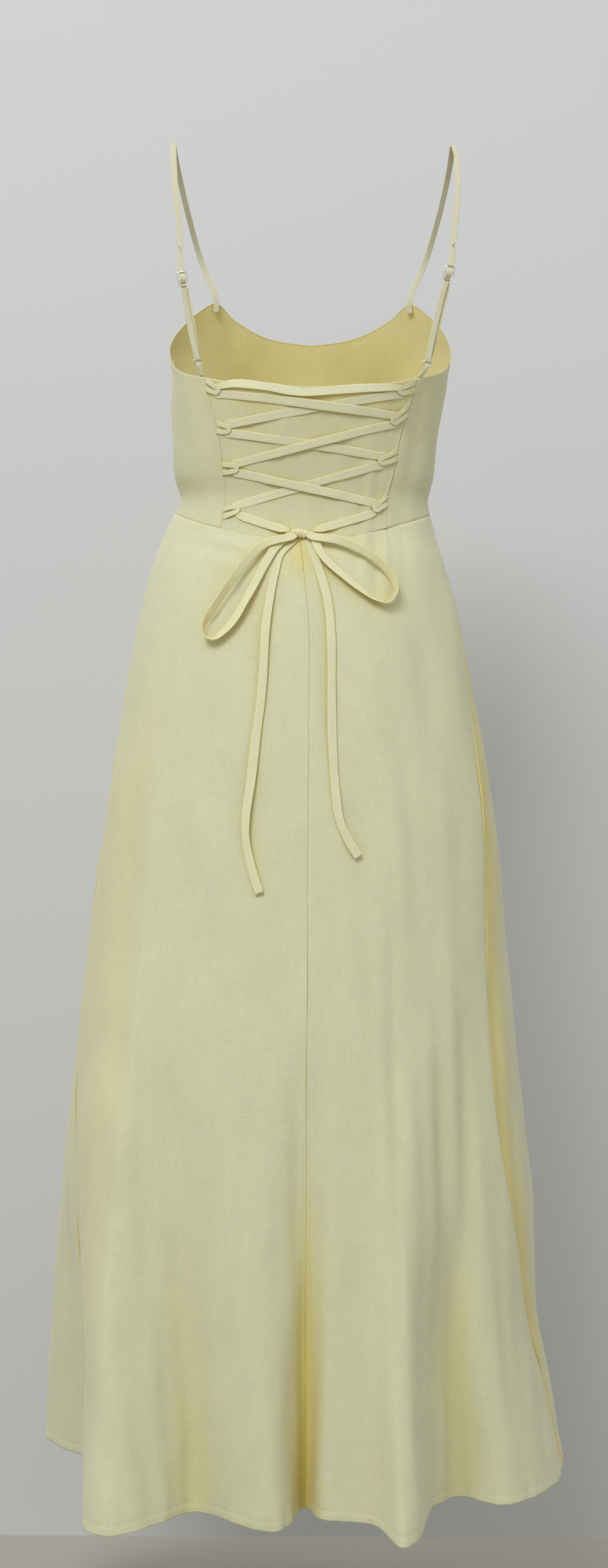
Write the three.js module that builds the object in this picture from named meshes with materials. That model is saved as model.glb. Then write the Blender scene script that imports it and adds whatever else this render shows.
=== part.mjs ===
// A maxi dress with a laced back, worn and hollow. Millimetres, +Z up.
// The origin lies midway between the tops of the two shoulder straps. The front faces -Y, the wearer's
// left is +X. Places round the body are angles in degrees: 0 is the centre back, 90 the wearer's
// left side, 180 the centre front and 270, or -90, the right side.
import * as THREE from "three";

// ---------- driving sizes ----------
const WALL = 1.2; // cloth with its seam allowances, as a solid wall
const GAP = 0.3; // between neighbouring pieces
const HEM_Z = -1358;
const SIDE_SEAM = 84; // degrees from the centre back
const FOLD_CURVE = 1.3; // how slowly a fold opens below its start
const SEAM_REACH = 30; // degrees each way that the centre back's own line moves the cloth beside it
const TIE = { wide: 8.7, pinched: 4.8, thick: 1.4 }; // the flat lacing tie
const STRAP = { wide: 5.6, thick: 1.6 }; // the tube strap, pressed flat
const TAB_THICK = 1.1; // the cloth tab that holds a ring
const WIRE = 1.2; // thickness of the rings' and sliders' frames
const RING = { wide: 9.4, high: 7.2, corner: 2.4 };
const SLIDER = { wide: 10.6, high: 15, corner: 3 };
const LOOP = { wide: 3.6, thick: 1.1, foot: 5.4, tip: 2.6, lift: 2.9 }; // the lacing loops
const KNOT = { x: 11, z: -403, wide: 22, high: 9.5, deep: 8, lift: 5.2 };
const BUST = { x: 72, z: -256, radius: 56, rise: 13 }; // fullness that the front's darts give
const BUTTER = 0xe9e2a6;
const STEEL = 0xc9ccd0;

// ---------- tables ----------
// The smooth section of the garment at each height. half: half width, shift: its middle in X, seam: the
// X of its centre back, mid: the Y of its widest place, back and front: its reach in Y, round_back and
// round_front: 2 is an ellipse.
const SECTIONS = [
  { z: -140, half: 132, shift: 0, seam: 0, mid: -35, back: 95, front: -104, round_back: 2.5, round_front: 2.3 },
  { z: -200, half: 145, shift: 3, seam: 3, mid: -34, back: 94, front: -116, round_back: 2.6, round_front: 2.4 },
  { z: -236, half: 141, shift: 3, seam: 3, mid: -30, back: 93, front: -120, round_back: 2.6, round_front: 2.4 },
  { z: -262, half: 139, shift: 5.5, seam: 5.5, mid: -26, back: 90, front: -117, round_back: 2.5, round_front: 2.4 },
  { z: -300, half: 135, shift: 8, seam: 8, mid: -20, back: 83, front: -109, round_back: 2.4, round_front: 2.3 },
  { z: -338, half: 132, shift: 9, seam: 9, mid: -14, back: 76, front: -102, round_back: 2.4, round_front: 2.2 },
  { z: -364, half: 126, shift: 8, seam: 8, mid: -11, back: 73, front: -98, round_back: 2.3, round_front: 2.2 },
  { z: -395, half: 138, shift: 12, seam: 12, mid: -9, back: 77, front: -98, round_back: 2.2, round_front: 2.2 },
  { z: -428, half: 149.5, shift: 13, seam: 9, mid: -8, back: 91, front: -106, round_back: 2.2, round_front: 2.2 },
  { z: -492, half: 165, shift: 12, seam: 3, mid: -6, back: 108, front: -117, round_back: 2.2, round_front: 2.2 },
  { z: -572, half: 180, shift: 11.5, seam: 2, mid: -4, back: 122, front: -129, round_back: 2.2, round_front: 2.2 },
  { z: -684, half: 198, shift: 10, seam: 2, mid: 0, back: 138, front: -144, round_back: 2.2, round_front: 2.2 },
  { z: -812, half: 212.5, shift: 13.5, seam: 2, mid: 0, back: 155, front: -160, round_back: 2.2, round_front: 2.2 },
  { z: -940, half: 230, shift: 19, seam: 1.5, mid: 0, back: 172, front: -178, round_back: 2.2, round_front: 2.2 },
  { z: -1068, half: 242, shift: 19, seam: 1.5, mid: 0, back: 187, front: -196, round_back: 2.2, round_front: 2.2 },
  { z: -1196, half: 247, shift: 18, seam: 1.5, mid: 0, back: 200, front: -212, round_back: 2.2, round_front: 2.2 },
  { z: HEM_Z, half: 262, shift: 6, seam: 1.5, mid: 0, back: 215, front: -230, round_back: 2.2, round_front: 2.2 },
];
// The hem's folds in plan, round the body. drop: how far the hem hangs below HEM_Z there. starts: the
// height below which the cloth leaves the smooth section for the fold.
const FOLDS = [
  { at: -84, x: -264, y: -7, drop: -11, starts: -560 },
  { at: -71, x: -252, y: 65, drop: -8, starts: -580 },
  { at: -61, x: -225, y: 118, drop: -4, starts: -700 },
  { at: -53, x: -190, y: 148, drop: -2, starts: -820 },
  { at: -46, x: -155, y: 127, drop: -6, starts: -870 },
  { at: -38, x: -125, y: 160, drop: -2, starts: -880 },
  { at: -28, x: -108, y: 235, drop: 14, starts: -900 },
  { at: -22, x: -90, y: 250, drop: 18, starts: -930 },
  { at: -15, x: -68, y: 216, drop: 5, starts: -950 },
  { at: -10, x: -38, y: 206, drop: 3, starts: -930 },
  { at: -5.5, x: -14, y: 200, drop: 2, starts: -900 },
  { at: -1.5, x: -4, y: 163, drop: 0, starts: -890 },
  { at: 1.5, x: 5.5, y: 162, drop: 0, starts: -890 },
  { at: 5.5, x: 13.5, y: 196, drop: 6, starts: -900 },
  { at: 11, x: 32, y: 219, drop: 11, starts: -930 },
  { at: 20, x: 73, y: 195, drop: 6, starts: -900 },
  { at: 28, x: 108, y: 166, drop: 3, starts: -880 },
  { at: 37, x: 143, y: 199, drop: 8, starts: -830 },
  { at: 45, x: 184, y: 223, drop: 15, starts: -780 },
  { at: 52, x: 212, y: 196, drop: 13, starts: -750 },
  { at: 60, x: 217, y: 138, drop: 6, starts: -740 },
  { at: 72, x: 206, y: 60, drop: -2, starts: -760 },
  { at: 84, x: 212, y: -10, drop: -6, starts: -760 },
  { at: 96, x: 232, y: -69, drop: -7, starts: -720 },
  { at: 104, x: 256, y: -103, drop: -8, starts: -680 },
  { at: 117, x: 276, y: -165, drop: -12, starts: -640 },
  { at: 131, x: 216, y: -190, drop: -8, starts: -760 },
  { at: 149, x: 152, y: -250, drop: -2, starts: -800 },
  { at: 166, x: 80, y: -212, drop: -6, starts: -860 },
  { at: 181, x: 15, y: -252, drop: -2, starts: -840 },
  { at: 198, x: -60, y: -210, drop: -6, starts: -880 },
  { at: 215, x: -138, y: -250, drop: -2, starts: -820 },
  { at: 233, x: -204, y: -188, drop: -8, starts: -780 },
  { at: 248, x: -262, y: -152, drop: -10, starts: -660 },
  { at: 262, x: -268, y: -80, drop: -12, starts: -600 },
];
// The skirt's right side seam rolls towards the back between the waist (down 0) and the hem (down 1).
const RIGHT_SEAM = [
  { down: 0, at: 84 },
  { down: 0.11, at: 80.5 },
  { down: 0.22, at: 71 },
  { down: 0.37, at: 64 },
  { down: 0.59, at: 60 },
  { down: 0.71, at: 64 },
  { down: 0.83, at: 71 },
  { down: 1, at: 84 },
];
// Heights of the bodice's top edge and of the waist seam, by the distance round from the centre back.
const TOP_EDGE = [
  { at: 0, z: -256 },
  { at: 20, z: -253.5 },
  { at: 44, z: -244.5 },
  { at: 56, z: -240 },
  { at: 70, z: -232 },
  { at: 84, z: -219 },
  { at: 93, z: -203 },
  { at: 104, z: -185 },
  { at: 120, z: -163 },
  { at: 134, z: -150 },
  { at: 148, z: -166 },
  { at: 165, z: -183 },
  { at: 180, z: -190 },
];
const WAIST = [
  { at: 0, z: -409 },
  { at: 20, z: -403 },
  { at: 36, z: -394.5 },
  { at: 60, z: -384 },
  { at: 84, z: -377 },
  { at: 120, z: -383 },
  { at: 180, z: -392 },
];
// The princess seams' places round the back.
const PRINCESS = [
  { z: -244, left: 44, right: -46 },
  { z: -290, left: 37.5, right: -43 },
  { z: -338, left: 34, right: -39.8 },
  { z: -364, left: 35.8, right: -38.6 },
  { z: -395, left: 33, right: -37.2 },
];
// The lacing loops: where each is sewn into its seam (z) and where its tip lies.
const LOOPS = [
  { name: "left_1", z: -252, tip_x: 93.5, tip_z: -258 },
  { name: "left_2", z: -294.5, tip_x: 83, tip_z: -297 },
  { name: "left_3", z: -336, tip_x: 75.5, tip_z: -336 },
  { name: "left_4", z: -381, tip_x: 74, tip_z: -377.5 },
  { name: "right_1", z: -252, tip_x: -85.5, tip_z: -257 },
  { name: "right_2", z: -275.5, tip_x: -78.5, tip_z: -286.5 },
  { name: "right_3", z: -320.5, tip_x: -67, tip_z: -327 },
  { name: "right_4", z: -365, tip_x: -61.5, tip_z: -374 },
];
// The tie's crossed pairs: each stretch leaves a loop below its middle and enters the next one above.
// The over stretch lies on the under one.
const PAIRS = [
  { name: "pair_1", over: ["left_1", "right_2"], under: ["right_1", "left_2"] },
  { name: "pair_2", over: ["right_2", "left_3"], under: ["left_2", "right_3"] },
  { name: "pair_3", over: ["left_3", "right_4"], under: ["right_3", "left_4"] },
];
// Routes of the tie's free stretches on the back: x, z and out, the height over the cloth.
const TOP_BAR = [
  { x: 96, z: -255.5, out: 1.2 },
  { x: 80, z: -252.5, out: 1.2 },
  { x: 47, z: -256, out: 1.4 },
  { x: 9.5, z: -261.5, out: 1.6 },
  { x: -19, z: -259.5, out: 1.4 },
  { x: -52, z: -256.5, out: 1.2 },
  { x: -88, z: -254.5, out: 1.2 },
];
const ROUTES = {
  to_knot_left: [
    { x: 76, z: -382, out: 1.3 },
    { x: 62, z: -387, out: 1.4 },
    { x: 42, z: -394, out: 1.9 },
    { x: 22.6, z: -400.5, out: 4.6 },
  ],
  to_knot_right: [
    { x: -63, z: -379.5, out: 1.3 },
    { x: -46, z: -385, out: 1.4 },
    { x: -22, z: -393, out: 1.9 },
    { x: -0.6, z: -400, out: 4.6 },
  ],
  bow_loop_left: [
    { x: 19.5, z: -407.6, out: 6.6 },
    { x: 46, z: -416.5, out: 9.4 },
    { x: 62, z: -432, out: 9.6 },
    { x: 76, z: -451, out: 9.6 },
    { x: 94.5, z: -480, out: 9 },
    { x: 104, z: -497, out: 8.2 },
    { x: 102.5, z: -507, out: 7.4 },
    { x: 95, z: -509, out: 6.6 },
    { x: 87, z: -503, out: 5.8 },
    { x: 76.5, z: -491, out: 5.2 },
    { x: 59.5, z: -460.5, out: 4.6 },
    { x: 45, z: -432, out: 4.4 },
    { x: 35.5, z: -417, out: 4.4 },
    { x: 22.5, z: -405.5, out: 3.9 },
  ],
  bow_loop_right: [
    { x: 1.6, z: -407, out: 6.6 },
    { x: -24.5, z: -412.5, out: 9.4 },
    { x: -51, z: -424, out: 9.6 },
    { x: -68.5, z: -436.5, out: 9.6 },
    { x: -79, z: -453, out: 9 },
    { x: -80, z: -465, out: 8.2 },
    { x: -72, z: -472, out: 7.4 },
    { x: -61, z: -469, out: 6.6 },
    { x: -47, z: -459, out: 5.8 },
    { x: -31.5, z: -446, out: 5.2 },
    { x: -13, z: -429, out: 4.6 },
    { x: -6, z: -418, out: 4.4 },
    { x: -0.6, z: -405, out: 3.9 },
  ],
  tail_left: [
    { x: 19, z: -409.5, out: 1.4 },
    { x: 31.5, z: -423, out: 1.5 },
    { x: 37, z: -443, out: 1.6 },
    { x: 42, z: -471.5, out: 2 },
    { x: 45.5, z: -500, out: 2.6 },
    { x: 46.5, z: -528, out: 3 },
    { x: 49, z: -567.5, out: 3 },
    { x: 53.5, z: -603.5, out: 3 },
    { x: 58.5, z: -651, out: 3 },
    { x: 63, z: -685.5, out: 3 },
    { x: 63, z: -704.5, out: 3 },
    { x: 57.5, z: -732.5, out: 3 },
    { x: 49, z: -759.5, out: 3 },
  ],
  tail_right: [
    { x: 4.5, z: -409.5, out: 1.4 },
    { x: -2, z: -424, out: 1.5 },
    { x: -8.5, z: -443, out: 1.6 },
    { x: -16, z: -471.5, out: 2 },
    { x: -19.5, z: -508, out: 2.6 },
    { x: -20, z: -551, out: 3 },
    { x: -21, z: -607, out: 3 },
    { x: -24, z: -654, out: 3 },
    { x: -29, z: -688.5, out: 3 },
    { x: -38.5, z: -709, out: 3 },
    { x: -47, z: -723, out: 3 },
  ],
};
// The straps' middle lines from the front's top edge over the shoulder to the slider, and the
// slider's and the ring's places.
const STRAPS = {
  left: {
    front_at: 134,
    over: [
      { x: 118, y: -98, z: -104 },
      { x: 132, y: -70, z: -56 },
      { x: 141, y: -38, z: -18 },
      { x: 144, y: -14, z: -2 },
      { x: 144, y: 4, z: 0 },
      { x: 143, y: 20, z: -15 },
      { x: 140, y: 41, z: -54.5 },
      { x: 135, y: 55, z: -99 },
    ],
    slider: { x: 131.5, y: 61.5, z: -146 },
    ring: { x: 115.5, y: 64.5, z: -229 },
  },
  right: {
    front_at: -134,
    over: [
      { x: -117, y: -98, z: -104 },
      { x: -131, y: -70, z: -56 },
      { x: -139, y: -38, z: -18 },
      { x: -141, y: -14, z: -2 },
      { x: -141.5, y: 4, z: 0 },
      { x: -144.5, y: 20, z: -15.5 },
      { x: -144.5, y: 41, z: -57 },
      { x: -141, y: 55, z: -96 },
    ],
    slider: { x: -135.5, y: 61.5, z: -138 },
    ring: { x: -114.5, y: 61, z: -229 },
  },
};

// ---------- curves through tables ----------
// The value of every column of a table at a place along its key column, on a smooth curve through
// the rows. With a turn, the table runs on round after that many degrees.
function readTable(rows, key, along, turn = 0) {
  const last = rows.length - 1;
  const step = Math.sign(rows[last][key] - rows[0][key]);
  const row = (i) => {
    if (!turn) return rows[Math.min(Math.max(i, 0), last)];
    const lap = Math.floor(i / rows.length);
    const found = rows[i - lap * rows.length];
    return { ...found, [key]: found[key] + lap * turn };
  };
  const end = turn ? rows.length - 1 : rows.length - 2;
  let place = along;
  if (turn) place -= turn * Math.floor((along - rows[0][key]) / turn);
  let i = 0;
  while (i < end && step * (place - row(i + 1)[key]) > 0) i += 1;
  const [before, a, b, after] = [row(i - 1), row(i), row(i + 1), row(i + 2)];
  const span = b[key] - a[key];
  const t = Math.min(Math.max((place - a[key]) / span, 0), 1);
  const read = {};
  for (const column of Object.keys(a)) {
    const leave = ((b[column] - before[column]) / (b[key] - before[key])) * span;
    const arrive = ((after[column] - a[column]) / (after[key] - a[key])) * span;
    read[column] =
      ((2 * t - 3) * t * t + 1) * a[column] +
      ((t - 2) * t + 1) * t * leave +
      (3 - 2 * t) * t * t * b[column] +
      (t - 1) * t * t * arrive;
  }
  return read;
}

const degrees = (angle) => (angle * Math.PI) / 180;
const mix = (a, b, share) => a + (b - a) * share;
// Degrees round the body, 0 to 180 on both sides.
const aside = (at) => Math.abs(((((at + 180) % 360) + 360) % 360) - 180);
const topEdge = (at) => readTable(TOP_EDGE, "at", aside(at)).z;
const waistSeam = (at) => readTable(WAIST, "at", aside(at)).z;
const princess = (side) => (z) => readTable(PRINCESS, "z", z)[side];

// ---------- the garment's surface ----------
// A point of the smooth body of the garment, before any fold.
function bodyPoint(at, z) {
  const s = readTable(SECTIONS, "z", z);
  const across = Math.sin(degrees(at));
  const along = Math.cos(degrees(at));
  const power = 2 / (along > 0 ? s.round_back : s.round_front);
  const beside = Math.exp(-((aside(at) / SEAM_REACH) ** 2));
  const middle = mix(s.shift, s.seam, beside);
  const x = middle + s.half * Math.sign(across) * Math.abs(across) ** power;
  const y = s.mid + ((along > 0 ? s.back : s.front) - s.mid) * Math.abs(along) ** power;
  return new THREE.Vector3(x, y - (along < 0 ? bustRise(x, z) : 0), z);
}

function bustRise(x, z) {
  const breast = (side) => {
    const away = Math.hypot(x - 4 - side * BUST.x, z - BUST.z) / BUST.radius;
    return BUST.rise * Math.exp(-2 * away * away);
  };
  return breast(1) + breast(-1);
}

// A point of the skirt: down is 0 at the waist seam and 1 at the hem.
function skirtPoint(at, down) {
  const fold = readTable(FOLDS, "at", at, 360);
  const hemZ = HEM_Z - fold.drop;
  const z = mix(waistSeam(at), hemZ, down);
  const point = bodyPoint(at, Math.max(z, HEM_Z));
  const smoothHem = bodyPoint(at, HEM_Z);
  const open = Math.max((fold.starts - z) / (fold.starts - hemZ), 0) ** FOLD_CURVE;
  point.x += open * (fold.x - smoothHem.x);
  point.y += open * (fold.y - smoothHem.y);
  point.z = z;
  return point;
}

// A point of a bodice panel between two seams, each a place round the body as a function of height.
function bodicePoint(seamA, seamB, across, down) {
  let z = (SECTIONS[4].z + SECTIONS[5].z) / 2;
  let at = 0;
  for (let turn = 0; turn < 8; turn += 1) {
    at = mix(seamA(z), seamB(z), across);
    z = mix(topEdge(at), waistSeam(at), down);
  }
  return bodyPoint(at, z);
}

// A point over the smooth back at x and z, moved out from the cloth.
function overBack(x, z, out) {
  const surface = (px, pz) => {
    const s = readTable(SECTIONS, "z", pz);
    const share = Math.min(Math.abs(px - s.shift) / s.half, 1);
    const y = s.mid + (s.back - s.mid) * (1 - share ** s.round_back) ** (1 / s.round_back);
    return new THREE.Vector3(px, y, pz);
  };
  const here = surface(x, z);
  const toLeft = surface(x + 1, z).sub(here);
  const up = surface(x, z + 1).sub(here);
  const normal = up.cross(toLeft).normalize();
  return { point: here.addScaledVector(normal, out), normal };
}

// ---------- solids ----------
function geometryFrom(points, triangles) {
  const geometry = new THREE.BufferGeometry();
  geometry.setAttribute("position", new THREE.Float32BufferAttribute(points.flatMap((p) => [...p]), 3));
  geometry.setIndex(triangles.flat());
  geometry.computeVertexNormals();
  return geometry;
}

// A cloth wall from a surface function of across and down, both 0 to 1. Its outer face is the
// surface, its inner face lies a wall further in. Edges that meet a neighbour keep half a gap.
function clothPanel(surface, columns, rows, keepsTop = false) {
  const outer = [];
  const inner = [];
  const tiny = 1e-3;
  for (let i = 0; i <= rows; i += 1) {
    for (let j = 0; j <= columns; j += 1) {
      const across = j / columns;
      const down = i / rows;
      const point = surface(across, down);
      const alongCloth = surface(across + tiny, down).sub(surface(across - tiny, down));
      const downCloth = surface(across, Math.min(down + tiny, 1)).sub(surface(across, Math.max(down - tiny, 0)));
      const normal = alongCloth.clone().cross(downCloth).normalize();
      const inset = ((j === 0) - (j === columns)) * (GAP / 2);
      point.addScaledVector(alongCloth.normalize(), inset);
      if (i === 0 && !keepsTop) point.z -= GAP / 2;
      if (i === rows && keepsTop) point.z += GAP / 2;
      outer.push(point);
      inner.push(point.clone().addScaledVector(normal, -WALL));
    }
  }
  const wide = columns + 1;
  const count = outer.length;
  const triangles = [];
  const quad = (a, b, c, d) => triangles.push([a, b, c], [a, c, d]);
  for (let i = 0; i < rows; i += 1) {
    for (let j = 0; j < columns; j += 1) {
      const a = i * wide + j;
      quad(a, a + 1, a + 1 + wide, a + wide);
      quad(count + a + wide, count + a + 1 + wide, count + a + 1, count + a);
    }
  }
  for (let i = 0; i < rows; i += 1) {
    const start = i * wide;
    const end = start + columns;
    quad(start + wide, count + start + wide, count + start, start);
    quad(end, count + end, count + end + wide, end + wide);
  }
  for (let j = 0; j < columns; j += 1) {
    const bottom = rows * wide + j;
    quad(count + j, count + j + 1, j + 1, j);
    quad(bottom, bottom + 1, count + bottom + 1, count + bottom);
  }
  return geometryFrom([...outer, ...inner], triangles);
}

// A flat band along stations, each a point, the direction its face looks, and its width. A station
// may name the direction of its width as side.
function band(stations, thick) {
  const points = [];
  const triangles = [];
  stations.forEach((station, i) => {
    const before = stations[Math.max(i - 1, 0)].point;
    const after = stations[Math.min(i + 1, stations.length - 1)].point;
    const ahead = after.clone().sub(before).normalize();
    const sideways = station.side ?? ahead.clone().cross(station.normal).normalize();
    const face = sideways.clone().cross(ahead).normalize();
    for (const [u, v] of [[1, 1], [-1, 1], [-1, -1], [1, -1]]) {
      const corner = station.point.clone();
      corner.addScaledVector(sideways, (u * station.wide) / 2);
      corner.addScaledVector(face, (v * thick) / 2);
      points.push(corner);
    }
    if (i === 0) return;
    for (let k = 0; k < 4; k += 1) {
      const [c, d] = [i * 4 + ((k + 1) % 4), i * 4 + k];
      const [a, b] = [d - 4, c - 4];
      // Both faces are split along one diagonal, so that a twisted band keeps its thickness.
      if (k === 2) triangles.push([a, d, b], [b, d, c]);
      else triangles.push([a, d, c], [a, c, b]);
    }
  });
  const end = points.length - 4;
  triangles.push([0, 1, 2], [0, 2, 3], [end, end + 2, end + 1], [end, end + 3, end + 2]);
  return geometryFrom(points, triangles);
}

// A rounded frame with holes, flat in X and Z, its middle at the origin.
function flatFrame({ wide, high, corner }, holes) {
  const shape = roundedRectangle(new THREE.Shape(), 0, wide, high, corner);
  for (const hole of holes) {
    shape.holes.push(roundedRectangle(new THREE.Path(), hole.y, hole.wide, hole.high, hole.corner));
  }
  const options = { depth: WIRE, bevelEnabled: false, curveSegments: 2 };
  return new THREE.ExtrudeGeometry(shape, options).translate(0, 0, -WIRE / 2).rotateX(Math.PI / 2);
}

function roundedRectangle(path, y, wide, high, corner) {
  const [w, h] = [wide / 2 - corner, high / 2 - corner];
  path.absarc(w, y + h, corner, 0, Math.PI / 2);
  path.absarc(-w, y + h, corner, Math.PI / 2, Math.PI);
  path.absarc(-w, y - h, corner, Math.PI, 1.5 * Math.PI);
  path.absarc(w, y - h, corner, 1.5 * Math.PI, 2 * Math.PI);
  return path;
}

const dress = new THREE.Group();
const addPiece = (name, geometry, colour = BUTTER, roughness = 0.85, metalness = 0) => {
  const mesh = new THREE.Mesh(geometry, new THREE.MeshStandardMaterial({ color: colour, roughness, metalness }));
  mesh.name = name;
  dress.add(mesh);
  return mesh;
};

// ---------- bodice ----------
const sideSeam = (side) => () => side * SIDE_SEAM;
const bodicePanel = (name, seamA, seamB, columns, rows) => {
  const surface = (across, down) => bodicePoint(seamA, seamB, across, down);
  addPiece(name, clothPanel(surface, columns, rows, true));
};
bodicePanel("bodice_centre_back", princess("right"), princess("left"), 14, 12);
bodicePanel("bodice_side_back_left", princess("left"), sideSeam(1), 7, 12);
bodicePanel("bodice_side_back_right", sideSeam(-1), princess("right"), 7, 12);
bodicePanel("bodice_front", sideSeam(1), () => 360 - SIDE_SEAM, 28, 12);

// ---------- skirt ----------
const centreBack = () => 0;
const leftSeam = () => SIDE_SEAM;
const rightSeam = (down) => -readTable(RIGHT_SEAM, "down", Math.min(Math.max(down, 0), 1)).at;
const skirtPanel = (name, seamA, seamB, columns, rows) => {
  const surface = (across, down) => skirtPoint(mix(seamA(down), seamB(down), across), down);
  addPiece(name, clothPanel(surface, columns, rows));
};
skirtPanel("skirt_back_right", rightSeam, centreBack, 34, 18);
skirtPanel("skirt_back_left", centreBack, leftSeam, 34, 18);
skirtPanel("skirt_front", leftSeam, (down) => 360 + rightSeam(down), 42, 18);

// ---------- lacing loops ----------
// Each is a narrow band sewn into the princess seam by both ends, its tip lifted over the tie.
const loopNamed = (name) => LOOPS.find((loop) => loop.name === name);
const loopSide = (loop) => (loop.name.startsWith("left") ? 1 : -1);
for (const loop of LOOPS) {
  const side = loopSide(loop);
  const seamAt = princess(side > 0 ? "left" : "right")(loop.z);
  const seamX = bodyPoint(seamAt, loop.z).x - side * 2;
  const turn = loop.tip_x + side * LOOP.tip;
  const low = GAP + LOOP.thick / 2 + 0.15;
  const outline = [
    { x: seamX, z: loop.z + LOOP.foot, out: low },
    { x: mix(seamX, turn, 0.5), z: mix(loop.z, loop.tip_z, 0.5) + mix(LOOP.foot, LOOP.tip, 0.5), out: LOOP.lift },
  ];
  for (let k = 0; k <= 6; k += 1) {
    const angle = (k / 6) * Math.PI;
    const x = turn - side * LOOP.tip * Math.sin(angle);
    outline.push({ x, z: loop.tip_z + LOOP.tip * Math.cos(angle), out: LOOP.lift });
  }
  outline.push(
    { x: mix(seamX, turn, 0.5), z: mix(loop.z, loop.tip_z, 0.5) - mix(LOOP.foot, LOOP.tip, 0.5), out: LOOP.lift },
    { x: seamX, z: loop.z - LOOP.foot, out: low },
  );
  const stations = outline.map((p) => ({ ...overBack(p.x, p.z, p.out), wide: LOOP.wide }));
  addPiece("lace_loop_" + loop.name, band(stations, LOOP.thick));
}

// ---------- lacing tie ----------
// The tie is pinched where it runs through a loop and into the knot.
const tieWidth = (share) => mix(TIE.pinched, TIE.wide, Math.min(1, 9 * Math.min(share, 1 - share)));

const OVER_FLAT = 30; // mm each way that the upper stretch stays clear over the lower one
const OVER_SLOPE = 16;
const CLEAR = GAP + TIE.thick / 2 + 0.3; // the tie's middle over the cloth
const ENTRY = { in: 2.4, aside: 3.9 }; // how far into a loop a stretch ends, and from its middle
const pairEnds = ([from, to]) =>
  [loopNamed(from), loopNamed(to)].map((loop, k) => ({
    x: loop.tip_x + loopSide(loop) * ENTRY.in,
    z: loop.tip_z + (k ? 1 : -1) * ENTRY.aside,
  }));
const lineOf = ([p, q]) => {
  const slope = (q.z - p.z) / (q.x - p.x);
  return { slope, start: p.z - slope * p.x };
};
for (const pair of PAIRS) {
  const [upper, lower] = [lineOf(pairEnds(pair.over)), lineOf(pairEnds(pair.under))];
  const crossingX = (lower.start - upper.start) / (upper.slope - lower.slope);
  for (const layer of ["over", "under"]) {
    const [from, to] = pairEnds(pair[layer]);
    const steps = 16;
    const stations = [];
    for (let k = 0; k <= steps; k += 1) {
      const share = k / steps;
      const x = mix(from.x, to.x, share);
      const away = Math.max(Math.abs(x - crossingX) - OVER_FLAT, 0) / OVER_SLOPE;
      const lifted = layer === "over" && away < 1 ? Math.cos((away * Math.PI) / 2) ** 2 : 0;
      const out = CLEAR + (TIE.thick + GAP + 0.2) * lifted;
      stations.push({ ...overBack(x, mix(from.z, to.z, share), out), wide: tieWidth(share) });
    }
    addPiece("lace_" + pair.name + "_" + layer, band(stations, TIE.thick));
  }
}

// A stretch of tie along a hand-laid route on the back, on one smooth curve.
function tieAlong(route, steps) {
  const curve = new THREE.CatmullRomCurve3(
    route.map((p) => new THREE.Vector3(p.x, p.out, p.z)),
    false,
    "centripetal",
  );
  return curve.getPoints(steps).map((p, k) => ({ ...overBack(p.x, p.z, p.y), wide: tieWidth(k / steps) }));
}
addPiece("lace_top_bar", band(tieAlong(TOP_BAR, 14), TIE.thick));
addPiece("lace_to_knot_left", band(tieAlong(ROUTES.to_knot_left, 8), TIE.thick));
addPiece("lace_to_knot_right", band(tieAlong(ROUTES.to_knot_right, 8), TIE.thick));
addPiece("bow_loop_left", band(tieAlong(ROUTES.bow_loop_left, 30), TIE.thick));
addPiece("bow_loop_right", band(tieAlong(ROUTES.bow_loop_right, 30), TIE.thick));
addPiece("tail_left", band(tieAlong(ROUTES.tail_left, 28), TIE.thick));
addPiece("tail_right", band(tieAlong(ROUTES.tail_right, 26), TIE.thick));

const knot = addPiece("lace_knot", new THREE.SphereGeometry(0.5, 12, 8));
knot.scale.set(KNOT.wide, KNOT.deep, KNOT.high);
knot.position.copy(overBack(KNOT.x, KNOT.z, KNOT.lift).point);

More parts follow.
